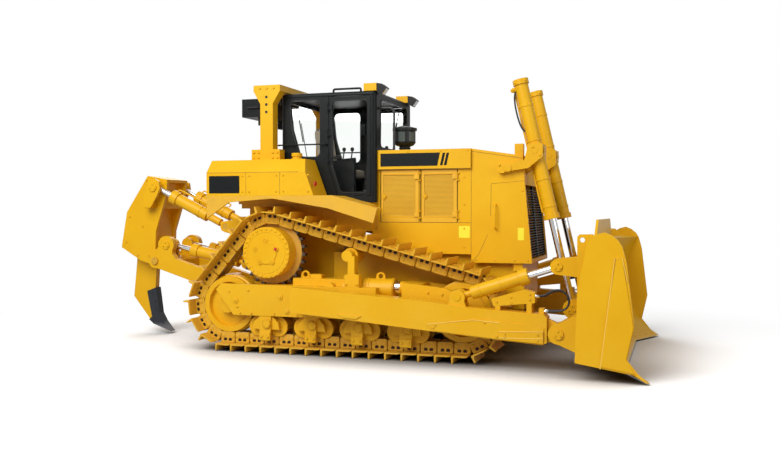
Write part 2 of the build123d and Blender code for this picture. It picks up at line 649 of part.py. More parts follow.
with BuildPart() as cab_glass:
    for y in (-CAB_HALF + 20, CAB_HALF - 28):
        rounded(SIDE_WINDOW, 70, y, y + 8)
    crosswise(FRONT_WINDOW, 70, CAB_X[1] - 28, CAB_X[1] - 20)
    crosswise(REAR_WINDOW, 70, CAB_X[0] + 20, CAB_X[0] + 28)

DOOR_WINDOW = [(-225, 3325), (268, 3325), (268, 2120), (-108, 2120), (-225, 2480)]
with BuildPart() as cab_door_right:
    slab(door_outline(0), -CAB_HALF, -CAB_HALF + 40)
    rounded(DOOR_WINDOW, 45, -CAB_HALF, -CAB_HALF + 40, mode=Mode.SUBTRACT)
    for z in CAB_HINGES:
        door_knuckle(CAB_DOOR_X[0] - 3, -CAB_HALF, 1, z)

with BuildPart() as cab_door_left:
    mirror(cab_door_right.part, about=Plane.XZ)

with BuildPart() as door_glass_right:
    rounded(DOOR_WINDOW, 45, -CAB_HALF + 16, -CAB_HALF + 24)

with BuildPart() as door_glass_left:
    mirror(door_glass_right.part, about=Plane.XZ)

with BuildPart() as operator_seat:
    block((-620, -140), (-250, 250), (2300, 2440))
    slab([(-640, 2380), (-540, 2380), (-640, 3000), (-740, 3000)], -240, 240)
    block((-560, -200), (-180, 180), (CAB_Z[0] + 20, 2300))

with BuildPart() as console:
    slab([(60, 2000), (245, 2000), (245, 2620), (180, 2640), (120, 2500)], -420, 420)
    for y in (-430, 330):
        block((-520, -60), (y, y + 100), (CAB_Z[0] + 20, 2560))

with BuildPart() as rops:
    for side_sign in (-1, 1):
        outer, inner = side_sign * ROPS_HALF, side_sign * (ROPS_HALF - 150)
        block((-1305, -890), (outer, inner), (TANK_Z[1], 2690))
        block((-1175, -990), (outer, inner), (2690, 3420))
    block(ROPS_X, (-ROPS_HALF, ROPS_HALF), (3465, MACHINE_HEIGHT))
    for side_sign in (-1, 1):
        outer, inner = side_sign * ROPS_HALF, side_sign * (ROPS_HALF - 150)
        slab([(-1175, 3300), (-990, 3300), (-885, 3470), (-1275, 3470)], outer, inner)

with BuildPart() as air_conditioner:
    block((-1765, -1395), (-420, 420), (3200, 3456))
    block((-1400, -1200), (-300, 300), (3380, 3465))

BOWL_PROFILE = [         # radius, z
    (0, HOOD_PANEL_Z), (72, HOOD_PANEL_Z), (72, 2735), (118, 2752), (146, 2785), (146, 2945),
    (166, 2952), (166, 2985), (60, 3012), (0, 3012),
]
with BuildPart() as precleaner:
    turned(630, -300, BOWL_PROFILE)

RAIL_Y = -640.0
with BuildPart() as grab_rail:
    with BuildLine() as rail_line:
        FilletPolyline((588, RAIL_Y, HOOD_Z[1]), (588, RAIL_Y, 3229), (CAB_X[1], RAIL_Y, 3229),
                       radius=70)
    with BuildSketch(Plane(origin=rail_line.line @ 0, z_dir=rail_line.line % 0)):
        Circle(16)
    sweep(path=rail_line.line)

# ---------------------------------------------------------------- blade
FRONT_BOTTOM, FRONT_TOP = (3486, 100), (3293, 1480)
FRONT_DEEP = (3142, 736)
BACK = [(3200, 1505), (3120, 1450), (3080, 1000), (3075, 500), (3120, 200), (3440, 95)]


def moldboard_section(y, sweep):
    """The moldboard's section at one y, moved forward by the wing's sweep."""
    with BuildSketch(Plane.XZ.offset(-y)) as section:
        with BuildLine():
            ThreePointArc(
                (FRONT_BOTTOM[0] + sweep, FRONT_BOTTOM[1]),
                (FRONT_DEEP[0] + sweep, FRONT_DEEP[1]),
                (FRONT_TOP[0] + sweep, FRONT_TOP[1]),
            )
            corners = [FRONT_TOP] + BACK + [FRONT_BOTTOM]
            Polyline(*[(x + sweep, z) for x, z in corners])
        make_face()
    return section.sketch


LIFT_EAR, LIFT_CAP = 118.0, 62.0
TILT_EAR, TILT_CAP = 92.0, 50.0
EAR_THICK, CAP_THICK = 34.0, 14.0
LIFT_EYE_HALF, TILT_EYE_HALF = 48.0, 52.0
END_PLATE = [(3095, 196), (3117, 911), (3147, 1157), (3182, 1294), (3204, 1422), (3225, 1522),
             (3274, 1581), (3318, 1609), (3406, 1632), (3485, 1601), (3555, 1543), (3594, 1481),
             (3612, 1419), (3642, 1303), (3725, 609), (3648, 259), (3776, 100), (3730, 95)]
END_OVERLAY = [(3361, 172), (3534, 1364), (3594, 1357), (3716, 609), (3640, 262), (3735, 112)]
LIFTING_EAR = [(3096, 560), (3096, 1575), (3120, 1603), (3262, 1607), (3420, 1480), (3420, 1380),
               (3330, 560)]
LIFTING_HOLE = (3153, 1541)


def eye_ears(eye, y, half, radius, cap, roots):
    """Two ears of the blade beside a rod's eye, each with the cap of its pin outside."""
    for side, root in zip((-1, 1), roots):
        near = y + side * (half + SIDE_GAP)
        far = near + side * EAR_THICK
        slab([(eye[0], eye[1] - radius), (root, eye[1] - radius - 40),
              (root, eye[1] + radius + 40), (eye[0], eye[1] + radius)], near, far)
        disc(eye, radius, near, far)
        disc(eye, cap, far, far + side * CAP_THICK)


with BuildPart() as moldboard:
    extrude(moldboard_section(WING_START, 0), amount=2 * WING_START)
    loft([moldboard_section(-WING_START, 0), moldboard_section(-BLADE_WIDTH / 2 + 40, WING_SWEEP)],
         ruled=True)
    loft([moldboard_section(WING_START, 0), moldboard_section(BLADE_WIDTH / 2 - 40, WING_SWEEP)],
         ruled=True)
    for side_sign in (-1, 1):
        slab(END_PLATE, side_sign * (BLADE_WIDTH / 2 - 40), side_sign * (BLADE_WIDTH / 2 - 12))
        slab(END_OVERLAY, side_sign * (BLADE_WIDTH / 2 - 12), side_sign * BLADE_WIDTH / 2)
        slab(LIFTING_EAR, side_sign * 1730, side_sign * 1762)
        disc(LIFTING_HOLE, 28, side_sign * 1720, side_sign * 1770, mode=Mode.SUBTRACT)
    with BuildSketch(Plane.YZ.offset(3225)) as spill:
        Polygon((-1250, 1490), (1250, 1490), (900, 1760), (-900, 1760), align=None)
    extrude(spill.sketch, amount=30)

# the roots of the inner and the outer bracket, inside the swept back of the wing
PITCH_ROOTS, TILT_ROOTS = (3165, 3235), [3190, 3250]
with BuildPart() as blade_brackets:
    for side_sign in (-1, 1):
        for y, root in zip((ARM_INNER, ARM_OUTER - 60), PITCH_ROOTS):
            slab([(2870, 335), (root, 180), (root, 760), (2870, 575)],
                 side_sign * y, side_sign * (y + 60))
            disc(PITCH_PIN, 120, side_sign * y, side_sign * (y + 60))
        disc(PITCH_PIN, PITCH_PIN_RADIUS, side_sign * (ARM_INNER - 20),
             side_sign * (ARM_OUTER + 20))
        eye_ears(LIFT_EYE, side_sign * LIFT_Y, LIFT_EYE_HALF, LIFT_EAR, LIFT_CAP, (3110, 3110))
        eye_ears(TILT_EYE, side_sign * TILT_Y, TILT_EYE_HALF, TILT_EAR, TILT_CAP,
                 TILT_ROOTS[::side_sign])
    add(moldboard.part, mode=Mode.SUBTRACT)

EDGE = [(3486, 100), (3597, 20), (3560, 20), (3440, 95)]


def edge_section(y, sweep):
    """The cutting edge's section at one y."""
    with BuildSketch(Plane.XZ.offset(-y)) as section:
        Polygon(*[(x + sweep, z) for x, z in EDGE], align=None)
    return section.sketch


with BuildPart() as cutting_edge:
    extrude(edge_section(WING_START, 0), amount=2 * WING_START)
    for side_sign in (-1, 1):
        loft(
            [edge_section(side_sign * WING_START, 0),
             edge_section(side_sign * (BLADE_WIDTH / 2 - 40), WING_SWEEP)],
            ruled=True,
        )
        slab([(x + WING_SWEEP, z) for x, z in EDGE],
             side_sign * (BLADE_WIDTH / 2 - 40), side_sign * BLADE_WIDTH / 2)

# ---------------------------------------------------------------- push arms
ARM_PLATE = [(1321, 507), (2035, 594), (2706, 523), (2706, 335), (2199, 368), (1400, 434)]
FRONT_PLATE = [(2184, 463), (2700, 471), (2700, 338), (2204, 370)]
HOSE_START, HOSE_END = 2597.0, 2700.0      # the guard's front and the fitting's face
HOSE_GUARD = [(2084, 835), (2480, 955), (HOSE_START, 920), (HOSE_START, 800), (2114, 747)]
with BuildPart() as push_arm_right:
    slab(
        [(-489, 600), (-489, 880), (-470, 900), (198, 853), (1171, 789), (1873, 721), (2700, 675),
         (2740, 640), (2740, 350), (2690, 322), (2199, 356), (862, 469), (198, 530), (-465, 580)],
        -ARM_OUTER, -ARM_INNER,
    )
    slab([(2700, 350), (2870, 350), (2870, 560), (2700, 640)],
         -ARM_OUTER + 60 + SIDE_GAP, -ARM_INNER - 60 - SIDE_GAP)
    disc(PITCH_PIN, 105, -ARM_OUTER + 60 + SIDE_GAP, -ARM_INNER - 60 - SIDE_GAP)
    disc(PITCH_PIN, PITCH_PIN_RADIUS + RUNNING, -1700, -1200, mode=Mode.SUBTRACT)
    disc(TRUNNION, 70 + RUNNING, -ARM_OUTER + 45, -1200, mode=Mode.SUBTRACT)
    for y in (TILT_Y - 90, TILT_Y + 52):
        slab([(1563, 735), (1620, 920), (1720, 920), (1790, 715)], -y - 38, -y)
        disc(TILT_REAR, 92, -y - 38, -y)
        disc(TILT_REAR, 40 + RUNNING, -y - 38, -y, mode=Mode.SUBTRACT)
    block((1580, 1790), (-TILT_Y - 90, -TILT_Y + 90), (640, 712))
    slab(ARM_PLATE, -ARM_OUTER - 12, -ARM_OUTER)
    slab(FRONT_PLATE, -ARM_OUTER - 24, -ARM_OUTER - 12)
    slab([(164, 594), (477, 575), (410, 537), (228, 548)], -ARM_OUTER - 14, -ARM_OUTER)
    slab(HOSE_GUARD, -TILT_Y - 75, -TILT_Y + 75)
    for x in (2130, 2500):
        block((x, x + 60), (-TILT_Y - 75, -TILT_Y + 75), (670, 800))
    block((HOSE_END - 60, HOSE_END), (-TILT_Y - 60, -TILT_Y + 60), (672, 740))

with BuildPart() as push_arm_left:
    mirror(push_arm_right.part, about=Plane.XZ)

# ---------------------------------------------------------------- hoses
HOSE_RADIUS = 11.0
HOSE_APART = 32.0        # each of a pair stands this far from the tilt cylinder's line
OUTER_HOSE = [(HOSE_START, 880), (2697, 880), (2780, 945), (2883, 963), (2969, 903),
              (2987, 800), (2930, 718), (2816, 702), (HOSE_END, 702)]
INNER_HOSE = [(HOSE_START, 866), (2690, 866), (2775, 925), (2872, 950), (2960, 900),
              (2985, 802), (2935, 722), (2820, 708), (HOSE_END, 708)]


def hose(name, route, y):
    """A hose of straight runs and tangent arcs in the plane at y."""
    points = [Vector(x, y, z) for x, z in route]
    radii = []
    for before, here, after in zip(points, points[1:], points[2:]):
        run_in, run_out = here - before, after - here
        shorter = min(run_in.length, run_out.length)
        radii.append(0.45 * shorter / tan(radians(run_in.get_angle(run_out)) / 2))
    print(name, "radii", [round(radius) for radius in radii])
    with BuildLine():
        path = FilletPolyline(*points, radius=radii)
    print(name, "length", round(path.length))
    with BuildSketch(Plane(origin=path @ 0, z_dir=path % 0)) as section:
        Circle(HOSE_RADIUS)
    sweep(section.sketch, path=path)


with BuildPart() as tilt_hose_outer_right:
    hose("tilt_hose_outer_right", OUTER_HOSE, -TILT_Y - HOSE_APART)
with BuildPart() as tilt_hose_inner_right:
    hose("tilt_hose_inner_right", INNER_HOSE, -TILT_Y + HOSE_APART)
with BuildPart() as tilt_hose_outer_left:
    hose("tilt_hose_outer_left", OUTER_HOSE, TILT_Y + HOSE_APART)
with BuildPart() as tilt_hose_inner_left:
    hose("tilt_hose_inner_left", INNER_HOSE, TILT_Y - HOSE_APART)

# ---------------------------------------------------------------- cylinders


def barrel_solid(pivot, eye, y, tail, head, end, radius, rod, eye_radius, half, pin, reach):
    """A cylinder barrel with its tail eye and pin, its head and a bore for the rod."""
    start, finish = at(pivot, y), at(eye, y)
    bar(along(start, finish, tail), along(start, finish, end), radius)
    bar(start, along(start, finish, tail + 10), half - 6)
    bar(along(start, finish, head), along(start, finish, end), radius + 16)
    disc(pivot, eye_radius, y - half, y + half)
    bar(along(start, finish, tail + 40), along(start, finish, end + 5), rod + RUNNING,
        mode=Mode.SUBTRACT)
    disc(pivot, pin, y - reach, y + reach)


def rod_solid(pivot, eye, y, inner, rod, eye_radius, half):
    """A chromed rod with its eye, which its ears hold with a little room."""
    start, finish = at(pivot, y), at(eye, y)
    bar(along(start, finish, inner), finish, rod)
    disc(eye, eye_radius, y - half, y + half)


with BuildPart() as lift_barrel_one:
    top = along(at(LIFT_PIVOT, -LIFT_Y), at(LIFT_EYE, -LIFT_Y), -922)
    bottom = along(at(LIFT_PIVOT, -LIFT_Y), at(LIFT_EYE, -LIFT_Y), 878)
    bar(top, bottom, 85)
    bar(along(top, bottom, -5), along(top, bottom, 60), 100)
    bar(along(top, bottom, 1740), along(top, bottom, 1800), 100)
    disc(LIFT_PIVOT, 112, -LIFT_Y - 80, -LIFT_Y + 80)
    disc(LIFT_PIVOT, 40, -LIFT_Y - 150, -LIFT_Y + 150)
    bar(along(top, bottom, 50), along(top, bottom, 1810), 48 + RUNNING, mode=Mode.SUBTRACT)

with BuildPart() as lift_barrels:
    both(lift_barrel_one.part)

with BuildPart() as lift_rod_one:
    rod_solid(LIFT_PIVOT, LIFT_EYE, -LIFT_Y, 60, 48, 88, LIFT_EYE_HALF)

with BuildPart() as lift_rods:
    both(lift_rod_one.part)


def guard_front(z):
    """Where the guard's upper front face stands at one height."""
    (x0, z0), (x1, z1) = GUARD_SIDE[3:5]
    return x0 + (z - z0) * (x1 - x0) / (z1 - z0)


YOKE = [(2005, 2345), (2380, 2400), (2560, 2540), (2560, 2700), (2380, 2700), (2330, 2500),
        (2005, 2450)]
with BuildPart() as yoke_one:
    slab(YOKE, -LIFT_Y - 148, -LIFT_Y - 92)
    slab([(2005, 2345), (2300, 2380), (2290, 2490), (2005, 2450)], -LIFT_Y - 92, -BODY_HALF)
    slab([(guard_front(2330), 2330), (2560, 2500), (2560, 2700), (2380, 2700),
          (guard_front(2530), 2530)],
         -LIFT_Y + 92, -LIFT_Y + 148)
    disc((2050, 2402), 62, -LIFT_Y - 148, -BODY_HALF)
    disc((2127, 2405), 48, -LIFT_Y - 158, -LIFT_Y - 148)
    disc(LIFT_PIVOT, 40 + RUNNING, -LIFT_Y - 160, -LIFT_Y + 160, mode=Mode.SUBTRACT)

with BuildPart() as lift_yokes:
    both(yoke_one.part)

with BuildPart() as tilt_barrel_one:
    barrel_solid(TILT_REAR, TILT_EYE, -TILT_Y, 170, 770, 880, 80, 42, 80, 46, 40, 98)

with BuildPart() as tilt_barrels:
    both(tilt_barrel_one.part)

with BuildPart() as tilt_rod_one:
    rod_solid(TILT_REAR, TILT_EYE, -TILT_Y, 300, 42, 78, TILT_EYE_HALF)

with BuildPart() as tilt_rods:
    both(tilt_rod_one.part)

# ---------------------------------------------------------------- ripper
ARM_NEAR, ARM_FAR = 309.0, 414.0       # the ripper frame's arms, from the machine's middle
PIN_HOLE = 55.0
FRAME_ARM = [(-3260, 1025), (-3157, 1012), (-2584, 836), (-1775, 610), (-1775, 830),
             (-2867, 1160), (-2925, 1240), (-2925, 1365), (-3137, 1365), (-3325, 1130)]
INNER_EAR = [(-3110, 1180), (-2945, 1120), (-2945, 1365), (-3121, 1365)]
with BuildPart() as ripper_frame:
    for side_sign in (-1, 1):
        near, far = side_sign * ARM_NEAR, side_sign * ARM_FAR
        slab(FRAME_ARM, near, far)
        disc(RIP_LIFT_EYE, 132, near, far)
        disc(RIP_LIFT_EYE, 62, far, far + side_sign * 16)
        disc(CARRIAGE_PIVOT, 112, near, far)
        disc(RIPPER_PIVOT, 110, near, far)
        slab(INNER_EAR, side_sign * 175, side_sign * 220)
        disc(RIP_LIFT_EYE, 90, side_sign * 175, side_sign * 220)
        disc(CARRIAGE_PIVOT, PIN_HOLE + RUNNING, side_sign * 150, side_sign * 430,
             mode=Mode.SUBTRACT)
        disc(RIPPER_PIVOT, 60, side_sign * 232, near)
    slab([(-3060, 1090), (-2900, 1040), (-2900, 1140), (-3060, 1190)], -314, 314)
    bar((-2200, -314, 850), (-2200, 314, 850), 85)

with BuildPart() as carriage_pin:
    disc(CARRIAGE_PIVOT, PIN_HOLE, -440, 440)

CARRIAGE = [
    (-3885, 1318), (-3788, 1850), (-3420, 2394), (-3087, 2336), (-3100, 2120), (-3172, 1904),
    (-3285, 1560), (-3292, 1300), (-3250, 1230), (-3100, 1190), (-3100, 1060), (-3240, 1030),
    (-3555, 1122),
]
CARRIAGE_HALF, CHEEK = 285.0, 57.0
PITCH_EAR = [(-3400, 1920), (-3275, 1914), (-3165, 2090), (-3115, 2200), (-3130, 2300),
             (-3200, 2345), (-3320, 2345), (-3340, 2200), (-3400, 2060)]
PITCH_EYE_HALF = 39.0
SHANK = [
    (-3770, 2110), (-3430, 2110), (-3426, 1034), (-3446, 700), (-3396, 305), (-3470, 200),
    (-3549, 211), (-3829, 557), (-3772, 1100),
]
TIP = [
    (-3428, 700), (-3589, 639), (-3506, 250), (-3560, 205), (-3480, 140), (-3176, 36),
    (-3300, 180), (-3372, 310),
]
with BuildPart() as ripper_carriage:
    slab(CARRIAGE, -CARRIAGE_HALF, CARRIAGE_HALF)
    slab([(-3180, 1904), (-3310, 1890), (-3310, 990), (-3000, 990), (-3000, 2300), (-3180, 2290)],
         -CARRIAGE_HALF + CHEEK, CARRIAGE_HALF - CHEEK, mode=Mode.SUBTRACT)
    slab(SHANK, -50, 50, mode=Mode.SUBTRACT)
    disc(CARRIAGE_PIVOT, PIN_HOLE + RUNNING, -300, 300, mode=Mode.SUBTRACT)
    for hole in ((-3425, 2320), (-3425, 2250)):
        disc(hole, 20, -300, 300, mode=Mode.SUBTRACT)
    outer = RIP_PITCH_Y + PITCH_EYE_HALF + SIDE_GAP
    for side_sign in (-1, 1):
        slab(PITCH_EAR, side_sign * outer, side_sign * (outer + 45))
        disc(RIP_PITCH_EYE, 110, side_sign * outer, side_sign * (outer + 45))
        disc(RIP_PITCH_EYE, 66, side_sign * (outer + 45), side_sign * (outer + 62))
        slab([(-3400, 1915), (-3275, 1909), (-3275, 2000), (-3400, 2010)],
             side_sign * CARRIAGE_HALF, side_sign * outer)
        disc(RIP_PITCH_EYE, 60, side_sign * CARRIAGE_HALF,
             side_sign * (RIP_PITCH_Y - PITCH_EYE_HALF - SIDE_GAP))
        disc((-3524, 1645), 26, side_sign * CARRIAGE_HALF, side_sign * (CARRIAGE_HALF + 10))

with BuildPart() as ripper_shank:
    slab(SHANK, -50, 50)

with BuildPart() as ripper_tip:
    slab(TIP, -62, 62)
    slab(SHANK, -50, 50, mode=Mode.SUBTRACT)

with BuildPart() as rip_lift_barrel_one:
    barrel_solid(RIP_LIFT_BASE, RIP_LIFT_EYE, -RIP_LIFT_Y, 150, 820, 930, 85, 38, 75, 38, 38, 90)

with BuildPart() as ripper_lift_barrels:
    both(rip_lift_barrel_one.part)

with BuildPart() as rip_lift_rod_one:
    rod_solid(RIP_LIFT_BASE, RIP_LIFT_EYE, -RIP_LIFT_Y, 480, 38, 66, 38)

with BuildPart() as ripper_lift_rods:
    both(rip_lift_rod_one.part)

with BuildPart() as ripper_pitch_pins:
    for side_sign in (-1, 1):
        disc(RIP_PITCH_BASE, 45, side_sign * 262, side_sign * 438)

with BuildPart() as rip_pitch_barrel_one:
    start, finish = at(RIP_PITCH_BASE, -RIP_PITCH_Y), at(RIP_PITCH_EYE, -RIP_PITCH_Y)
    bar(along(start, finish, 360), along(start, finish, 1015), 88)
    bar(start, along(start, finish, 380), 34)
    bar(along(start, finish, 130), along(start, finish, 380), 55)
    bar(along(start, finish, 905), along(start, finish, 1015), 104)
    disc(RIP_PITCH_BASE, 75, -388, -312)
    bar(along(start, finish, 420), along(start, finish, 1050), 40 + RUNNING, mode=Mode.SUBTRACT)
    disc(RIP_PITCH_BASE, 45 + RUNNING, -440, -262, mode=Mode.SUBTRACT)

with BuildPart() as ripper_pitch_barrels:
    both(rip_pitch_barrel_one.part)

with BuildPart() as rip_pitch_rod_one:
    rod_solid(RIP_PITCH_BASE, RIP_PITCH_EYE, -RIP_PITCH_Y, 640, 40, 70, PITCH_EYE_HALF)

with BuildPart() as ripper_pitch_rods:
    both(rip_pitch_rod_one.part)

# ---------------------------------------------------------------- lamps
LAMP_HOUSING = [(205, CAB_Z[1]), (205, MACHINE_HEIGHT), (384, MACHINE_HEIGHT), (384, CAB_Z[1])]
LAMP_HEAD = [(384, CAB_Z[1]), (384, MACHINE_HEIGHT), (455, 3536), (522, 3484), (452, 3392),
             (400, 3420)]
with BuildPart() as lamps:
    for y in (-765, 625):
        slab(LAMP_HOUSING, y, y + 140)
        slab(LAMP_HEAD, y + 5, y + 135)
    for y in (-380, 260):
        block((-1530, -1420), (y, y + 120), (3085, 3200))

PIECES = {
    "main_frame": main_frame, "engine": engine, "side_panels": side_panels, "hood": hood,
    "radiator_guard": radiator_guard, "radiator_grille": radiator_grille,
    "engine_door_rear_right": engine_door_rear_right,
    "engine_door_front_right": engine_door_front_right,
    "engine_door_rear_left": engine_door_rear_left,
    "engine_door_front_left": engine_door_front_left,
    "final_drives": final_drives, "sprockets": sprockets, "idlers": idlers,
    "track_rollers": track_rollers, "bogies": bogies, "carrier_rollers": carrier_rollers,
    "track_right": track_right, "track_left": track_left,
    "track_frame_right": track_frame_right, "track_frame_left": track_frame_left,
    "platform": platform, "tank_right": tank_right, "tank_left": tank_left,
    "cab_shell": cab_shell, "cab_glass": cab_glass,
    "cab_door_right": cab_door_right, "cab_door_left": cab_door_left,
    "door_glass_right": door_glass_right, "door_glass_left": door_glass_left,
    "operator_seat": operator_seat, "console": console, "rops": rops,
    "air_conditioner": air_conditioner, "precleaner": precleaner,
    "grab_rail": grab_rail, "lamps": lamps,
    "push_arm_right": push_arm_right, "push_arm_left": push_arm_left,
    "tilt_hose_outer_right": tilt_hose_outer_right,
    "tilt_hose_inner_right": tilt_hose_inner_right,
    "tilt_hose_outer_left": tilt_hose_outer_left, "tilt_hose_inner_left": tilt_hose_inner_left,
    "moldboard": moldboard, "blade_brackets": blade_brackets, "cutting_edge": cutting_edge,
    "lift_yokes": lift_yokes, "lift_barrels": lift_barrels, "lift_rods": lift_rods,
    "tilt_barrels": tilt_barrels, "tilt_rods": tilt_rods,
    "ripper_frame": ripper_frame, "carriage_pin": carriage_pin,
    "ripper_carriage": ripper_carriage, "ripper_shank": ripper_shank, "ripper_tip": ripper_tip,
    "ripper_lift_barrels": ripper_lift_barrels, "ripper_lift_rods": ripper_lift_rods,
    "ripper_pitch_pins": ripper_pitch_pins, "ripper_pitch_barrels": ripper_pitch_barrels,
    "ripper_pitch_rods": ripper_pitch_rods,
}

os.makedirs("parts", exist_ok=True)
for label, piece in PIECES.items():
    piece.part.label = label
    export_step(piece.part, f"parts/{label}.step")
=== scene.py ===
"""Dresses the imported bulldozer: finishes for every solid, and the small fittings on it.

Metres, +X forward, +Y the machine's left, +Z up, the ground at z = 0.
"""
from math import radians

import bpy
import numpy as np
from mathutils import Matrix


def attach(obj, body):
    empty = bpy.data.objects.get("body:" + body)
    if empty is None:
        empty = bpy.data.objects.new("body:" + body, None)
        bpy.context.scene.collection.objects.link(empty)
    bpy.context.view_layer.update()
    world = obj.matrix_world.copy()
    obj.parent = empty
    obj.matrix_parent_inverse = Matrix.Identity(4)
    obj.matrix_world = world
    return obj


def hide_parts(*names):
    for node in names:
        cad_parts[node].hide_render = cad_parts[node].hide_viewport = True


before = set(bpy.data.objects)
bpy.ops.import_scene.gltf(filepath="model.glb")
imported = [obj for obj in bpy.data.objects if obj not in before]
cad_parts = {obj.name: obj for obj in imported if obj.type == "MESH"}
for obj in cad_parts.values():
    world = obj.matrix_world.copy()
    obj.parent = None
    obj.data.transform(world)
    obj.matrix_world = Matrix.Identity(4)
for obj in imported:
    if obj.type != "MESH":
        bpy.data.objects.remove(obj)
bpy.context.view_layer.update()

# ---------------------------------------------------------------- studio
# A pale floor with a painted contact shadow, darker where something stands close over it,
# that fades into a white surround. One wide soft lamp stands high on the machine's right, with a
# weaker one behind and a low one in front.


def operator(operation, reflected=False):
    """An arithmetic method that adds one Math node, its two values swapped if reflected."""
    def method(self, other):
        return self.maths(operation, *((other, self) if reflected else (self, other)))
    return method


class Signal:
    """One socket of a material; arithmetic on it adds Math nodes behind it."""

    def __init__(self, socket):
        self.socket = socket

    def maths(self, operation, first, second=0.0, clamp=False):
        """A Math node of one operation on two values or signals."""
        tree = self.socket.id_data
        node = make(tree, "ShaderNodeMath", {"operation": operation, "use_clamp": clamp},
                    {0: first, 1: second})
        return Signal(node.outputs[0])

    __add__, __radd__ = operator("ADD"), operator("ADD", reflected=True)
    __sub__, __rsub__ = operator("SUBTRACT"), operator("SUBTRACT", reflected=True)
    __mul__, __rmul__ = operator("MULTIPLY"), operator("MULTIPLY", reflected=True)
    __truediv__, __pow__ = operator("DIVIDE"), operator("POWER")

    def clamped(self):
        """The signal held between 0 and 1."""
        return self.maths("ADD", self, 0.0, clamp=True)

    def fraction(self):
        """The part of the signal after its decimal point."""
        return self.maths("FRACT", self)

def make(tree, kind, settings=(), sockets=()):
    """A node of a kind: its settings first, then a value or a link for each socket."""
    node = tree.nodes.new(kind)
    for name, value in dict(settings).items():
        setattr(node, name, value)
    for key, value in dict(sockets).items():
        if isinstance(value, Signal):
            tree.links.new(value.socket, node.inputs[key])
        else:
            node.inputs[key].default_value = value
    return node


def rgb(red, green, blue):
    """An opaque colour."""
    return (red, green, blue, 1.0)


def blank_material(name):
    """A new material whose tree holds only its output."""
    material = bpy.data.materials.new(name)
    material.use_nodes = True
    tree = material.node_tree
    tree.nodes.clear()
    tree.nodes.new("ShaderNodeOutputMaterial")
    return material, tree, tree.nodes["Material Output"]


def straight_rays(tree):
    """1 for rays from the camera or through glass, a part of that off gloss, else 0."""
    rays = make(tree, "ShaderNodeLightPath")
    seen = Signal(rays.outputs["Is Camera Ray"])
    return (seen + Signal(rays.outputs["Is Glossy Ray"]) * GLOSS_SHARE
            + Signal(rays.outputs["Is Transmission Ray"])).clamped()


GLOSS_SHARE = 0.35       # how far gloss shows the floor and the surround as seen
SHADE_SAMPLES, SHADE_REACH, SHADE_POWER = 8, 1.5, 1.5
GLOW_LEAST = 0.3         # the floor's far glow for rays that only light things
FLOOR_PAINTED_SHADOW = rgb(0.05, 0.05, 0.05)
FLOOR_SEEN, FLOOR_BOUNCE = rgb(1.5, 1.5, 1.5), rgb(0.50, 0.50, 0.50)
FADE_START, FADE_END = 4.2, 7.5
floor_paint, tree, output = blank_material("studio_floor")
direct = straight_rays(tree)
# Painted shadow: ambient occlusion turns the floor's seen colour towards near black under and
# beside the machine.
painted_contact_shadow = make(tree, "ShaderNodeAmbientOcclusion", {"samples": SHADE_SAMPLES},
                 {"Distance": SHADE_REACH})
seen = make(tree, "ShaderNodeMix", {"data_type": "RGBA"},
            {"Factor": Signal(painted_contact_shadow.outputs["AO"]) ** SHADE_POWER,
             6: FLOOR_PAINTED_SHADOW, 7: FLOOR_SEEN})
tone = make(tree, "ShaderNodeMix", {"data_type": "RGBA"},
            {"Factor": direct, 6: FLOOR_BOUNCE, 7: Signal(seen.outputs[2])})
matt = make(tree, "ShaderNodeBsdfDiffuse", sockets={"Color": Signal(tone.outputs[2])})
glow = make(tree, "ShaderNodeEmission", sockets={
    "Color": rgb(1, 1, 1), "Strength": direct * (1.0 - GLOW_LEAST) + GLOW_LEAST})
spot = make(tree, "ShaderNodeTexCoord")
reach = make(tree, "ShaderNodeVectorMath", {"operation": "LENGTH"},
             {0: Signal(spot.outputs["Object"])})
faded = ((Signal(reach.outputs["Value"]) - FADE_START) / (FADE_END - FADE_START)).clamped()
sweep = make(tree, "ShaderNodeMixShader", sockets={
    0: faded, 1: Signal(matt.outputs[0]), 2: Signal(glow.outputs[0])})
tree.links.new(sweep.outputs[0], output.inputs["Surface"])

FLOOR_REACH, FLOOR_DROP = 300.0, 0.002
floor_mesh = bpy.data.meshes.new("studio_floor")
corners = np.array([[-1, -1], [1, -1], [1, 1], [-1, 1]]) * FLOOR_REACH
floor_mesh.from_pydata(np.c_[corners, np.full(4, -FLOOR_DROP)].tolist(), [], [(0, 1, 2, 3)])
floor_mesh.materials.append(floor_paint)
floor = bpy.data.objects.new("studio_floor", floor_mesh)
bpy.context.scene.collection.objects.link(floor)

AMBIENT = 0.30
world = bpy.data.worlds.new("studio")
bpy.context.scene.world = world
world.use_nodes = True
tree = world.node_tree
direct = straight_rays(tree)
tree.links.new((direct * (1.0 - AMBIENT) + AMBIENT).socket,
               tree.nodes["Background"].inputs["Strength"])
tree.nodes["Background"].inputs["Color"].default_value = rgb(1, 1, 1)

LAMPS = {            # name: power, size, place, aim
    "key": (1750.0, 9.0, (-2.5, -11.0, 9.5), (0.0, 0.0, 1.2)),
    "front": (230.0, 6.0, (11.0, -6.0, 5.0), (1.0, 0.0, 1.2)),
    "back": (450.0, 8.0, (-6.0, 10.0, 8.0), (0.0, 0.0, 1.2)),
}
for name, (power, side, spot, aim) in LAMPS.items():
    lamp = bpy.data.lights.new(name, "AREA")
    lamp.energy, lamp.size = power, side
    holder = bpy.data.objects.new(name, lamp)
    bpy.context.scene.collection.objects.link(holder)
    toward = np.array(aim) - np.array(spot)
    holder.location = spot
    across, height = np.hypot(toward[0], toward[1]), toward[2]
    holder.rotation_euler = (np.arctan2(across, -height), 0.0,
                             np.arctan2(-toward[0], toward[1]))

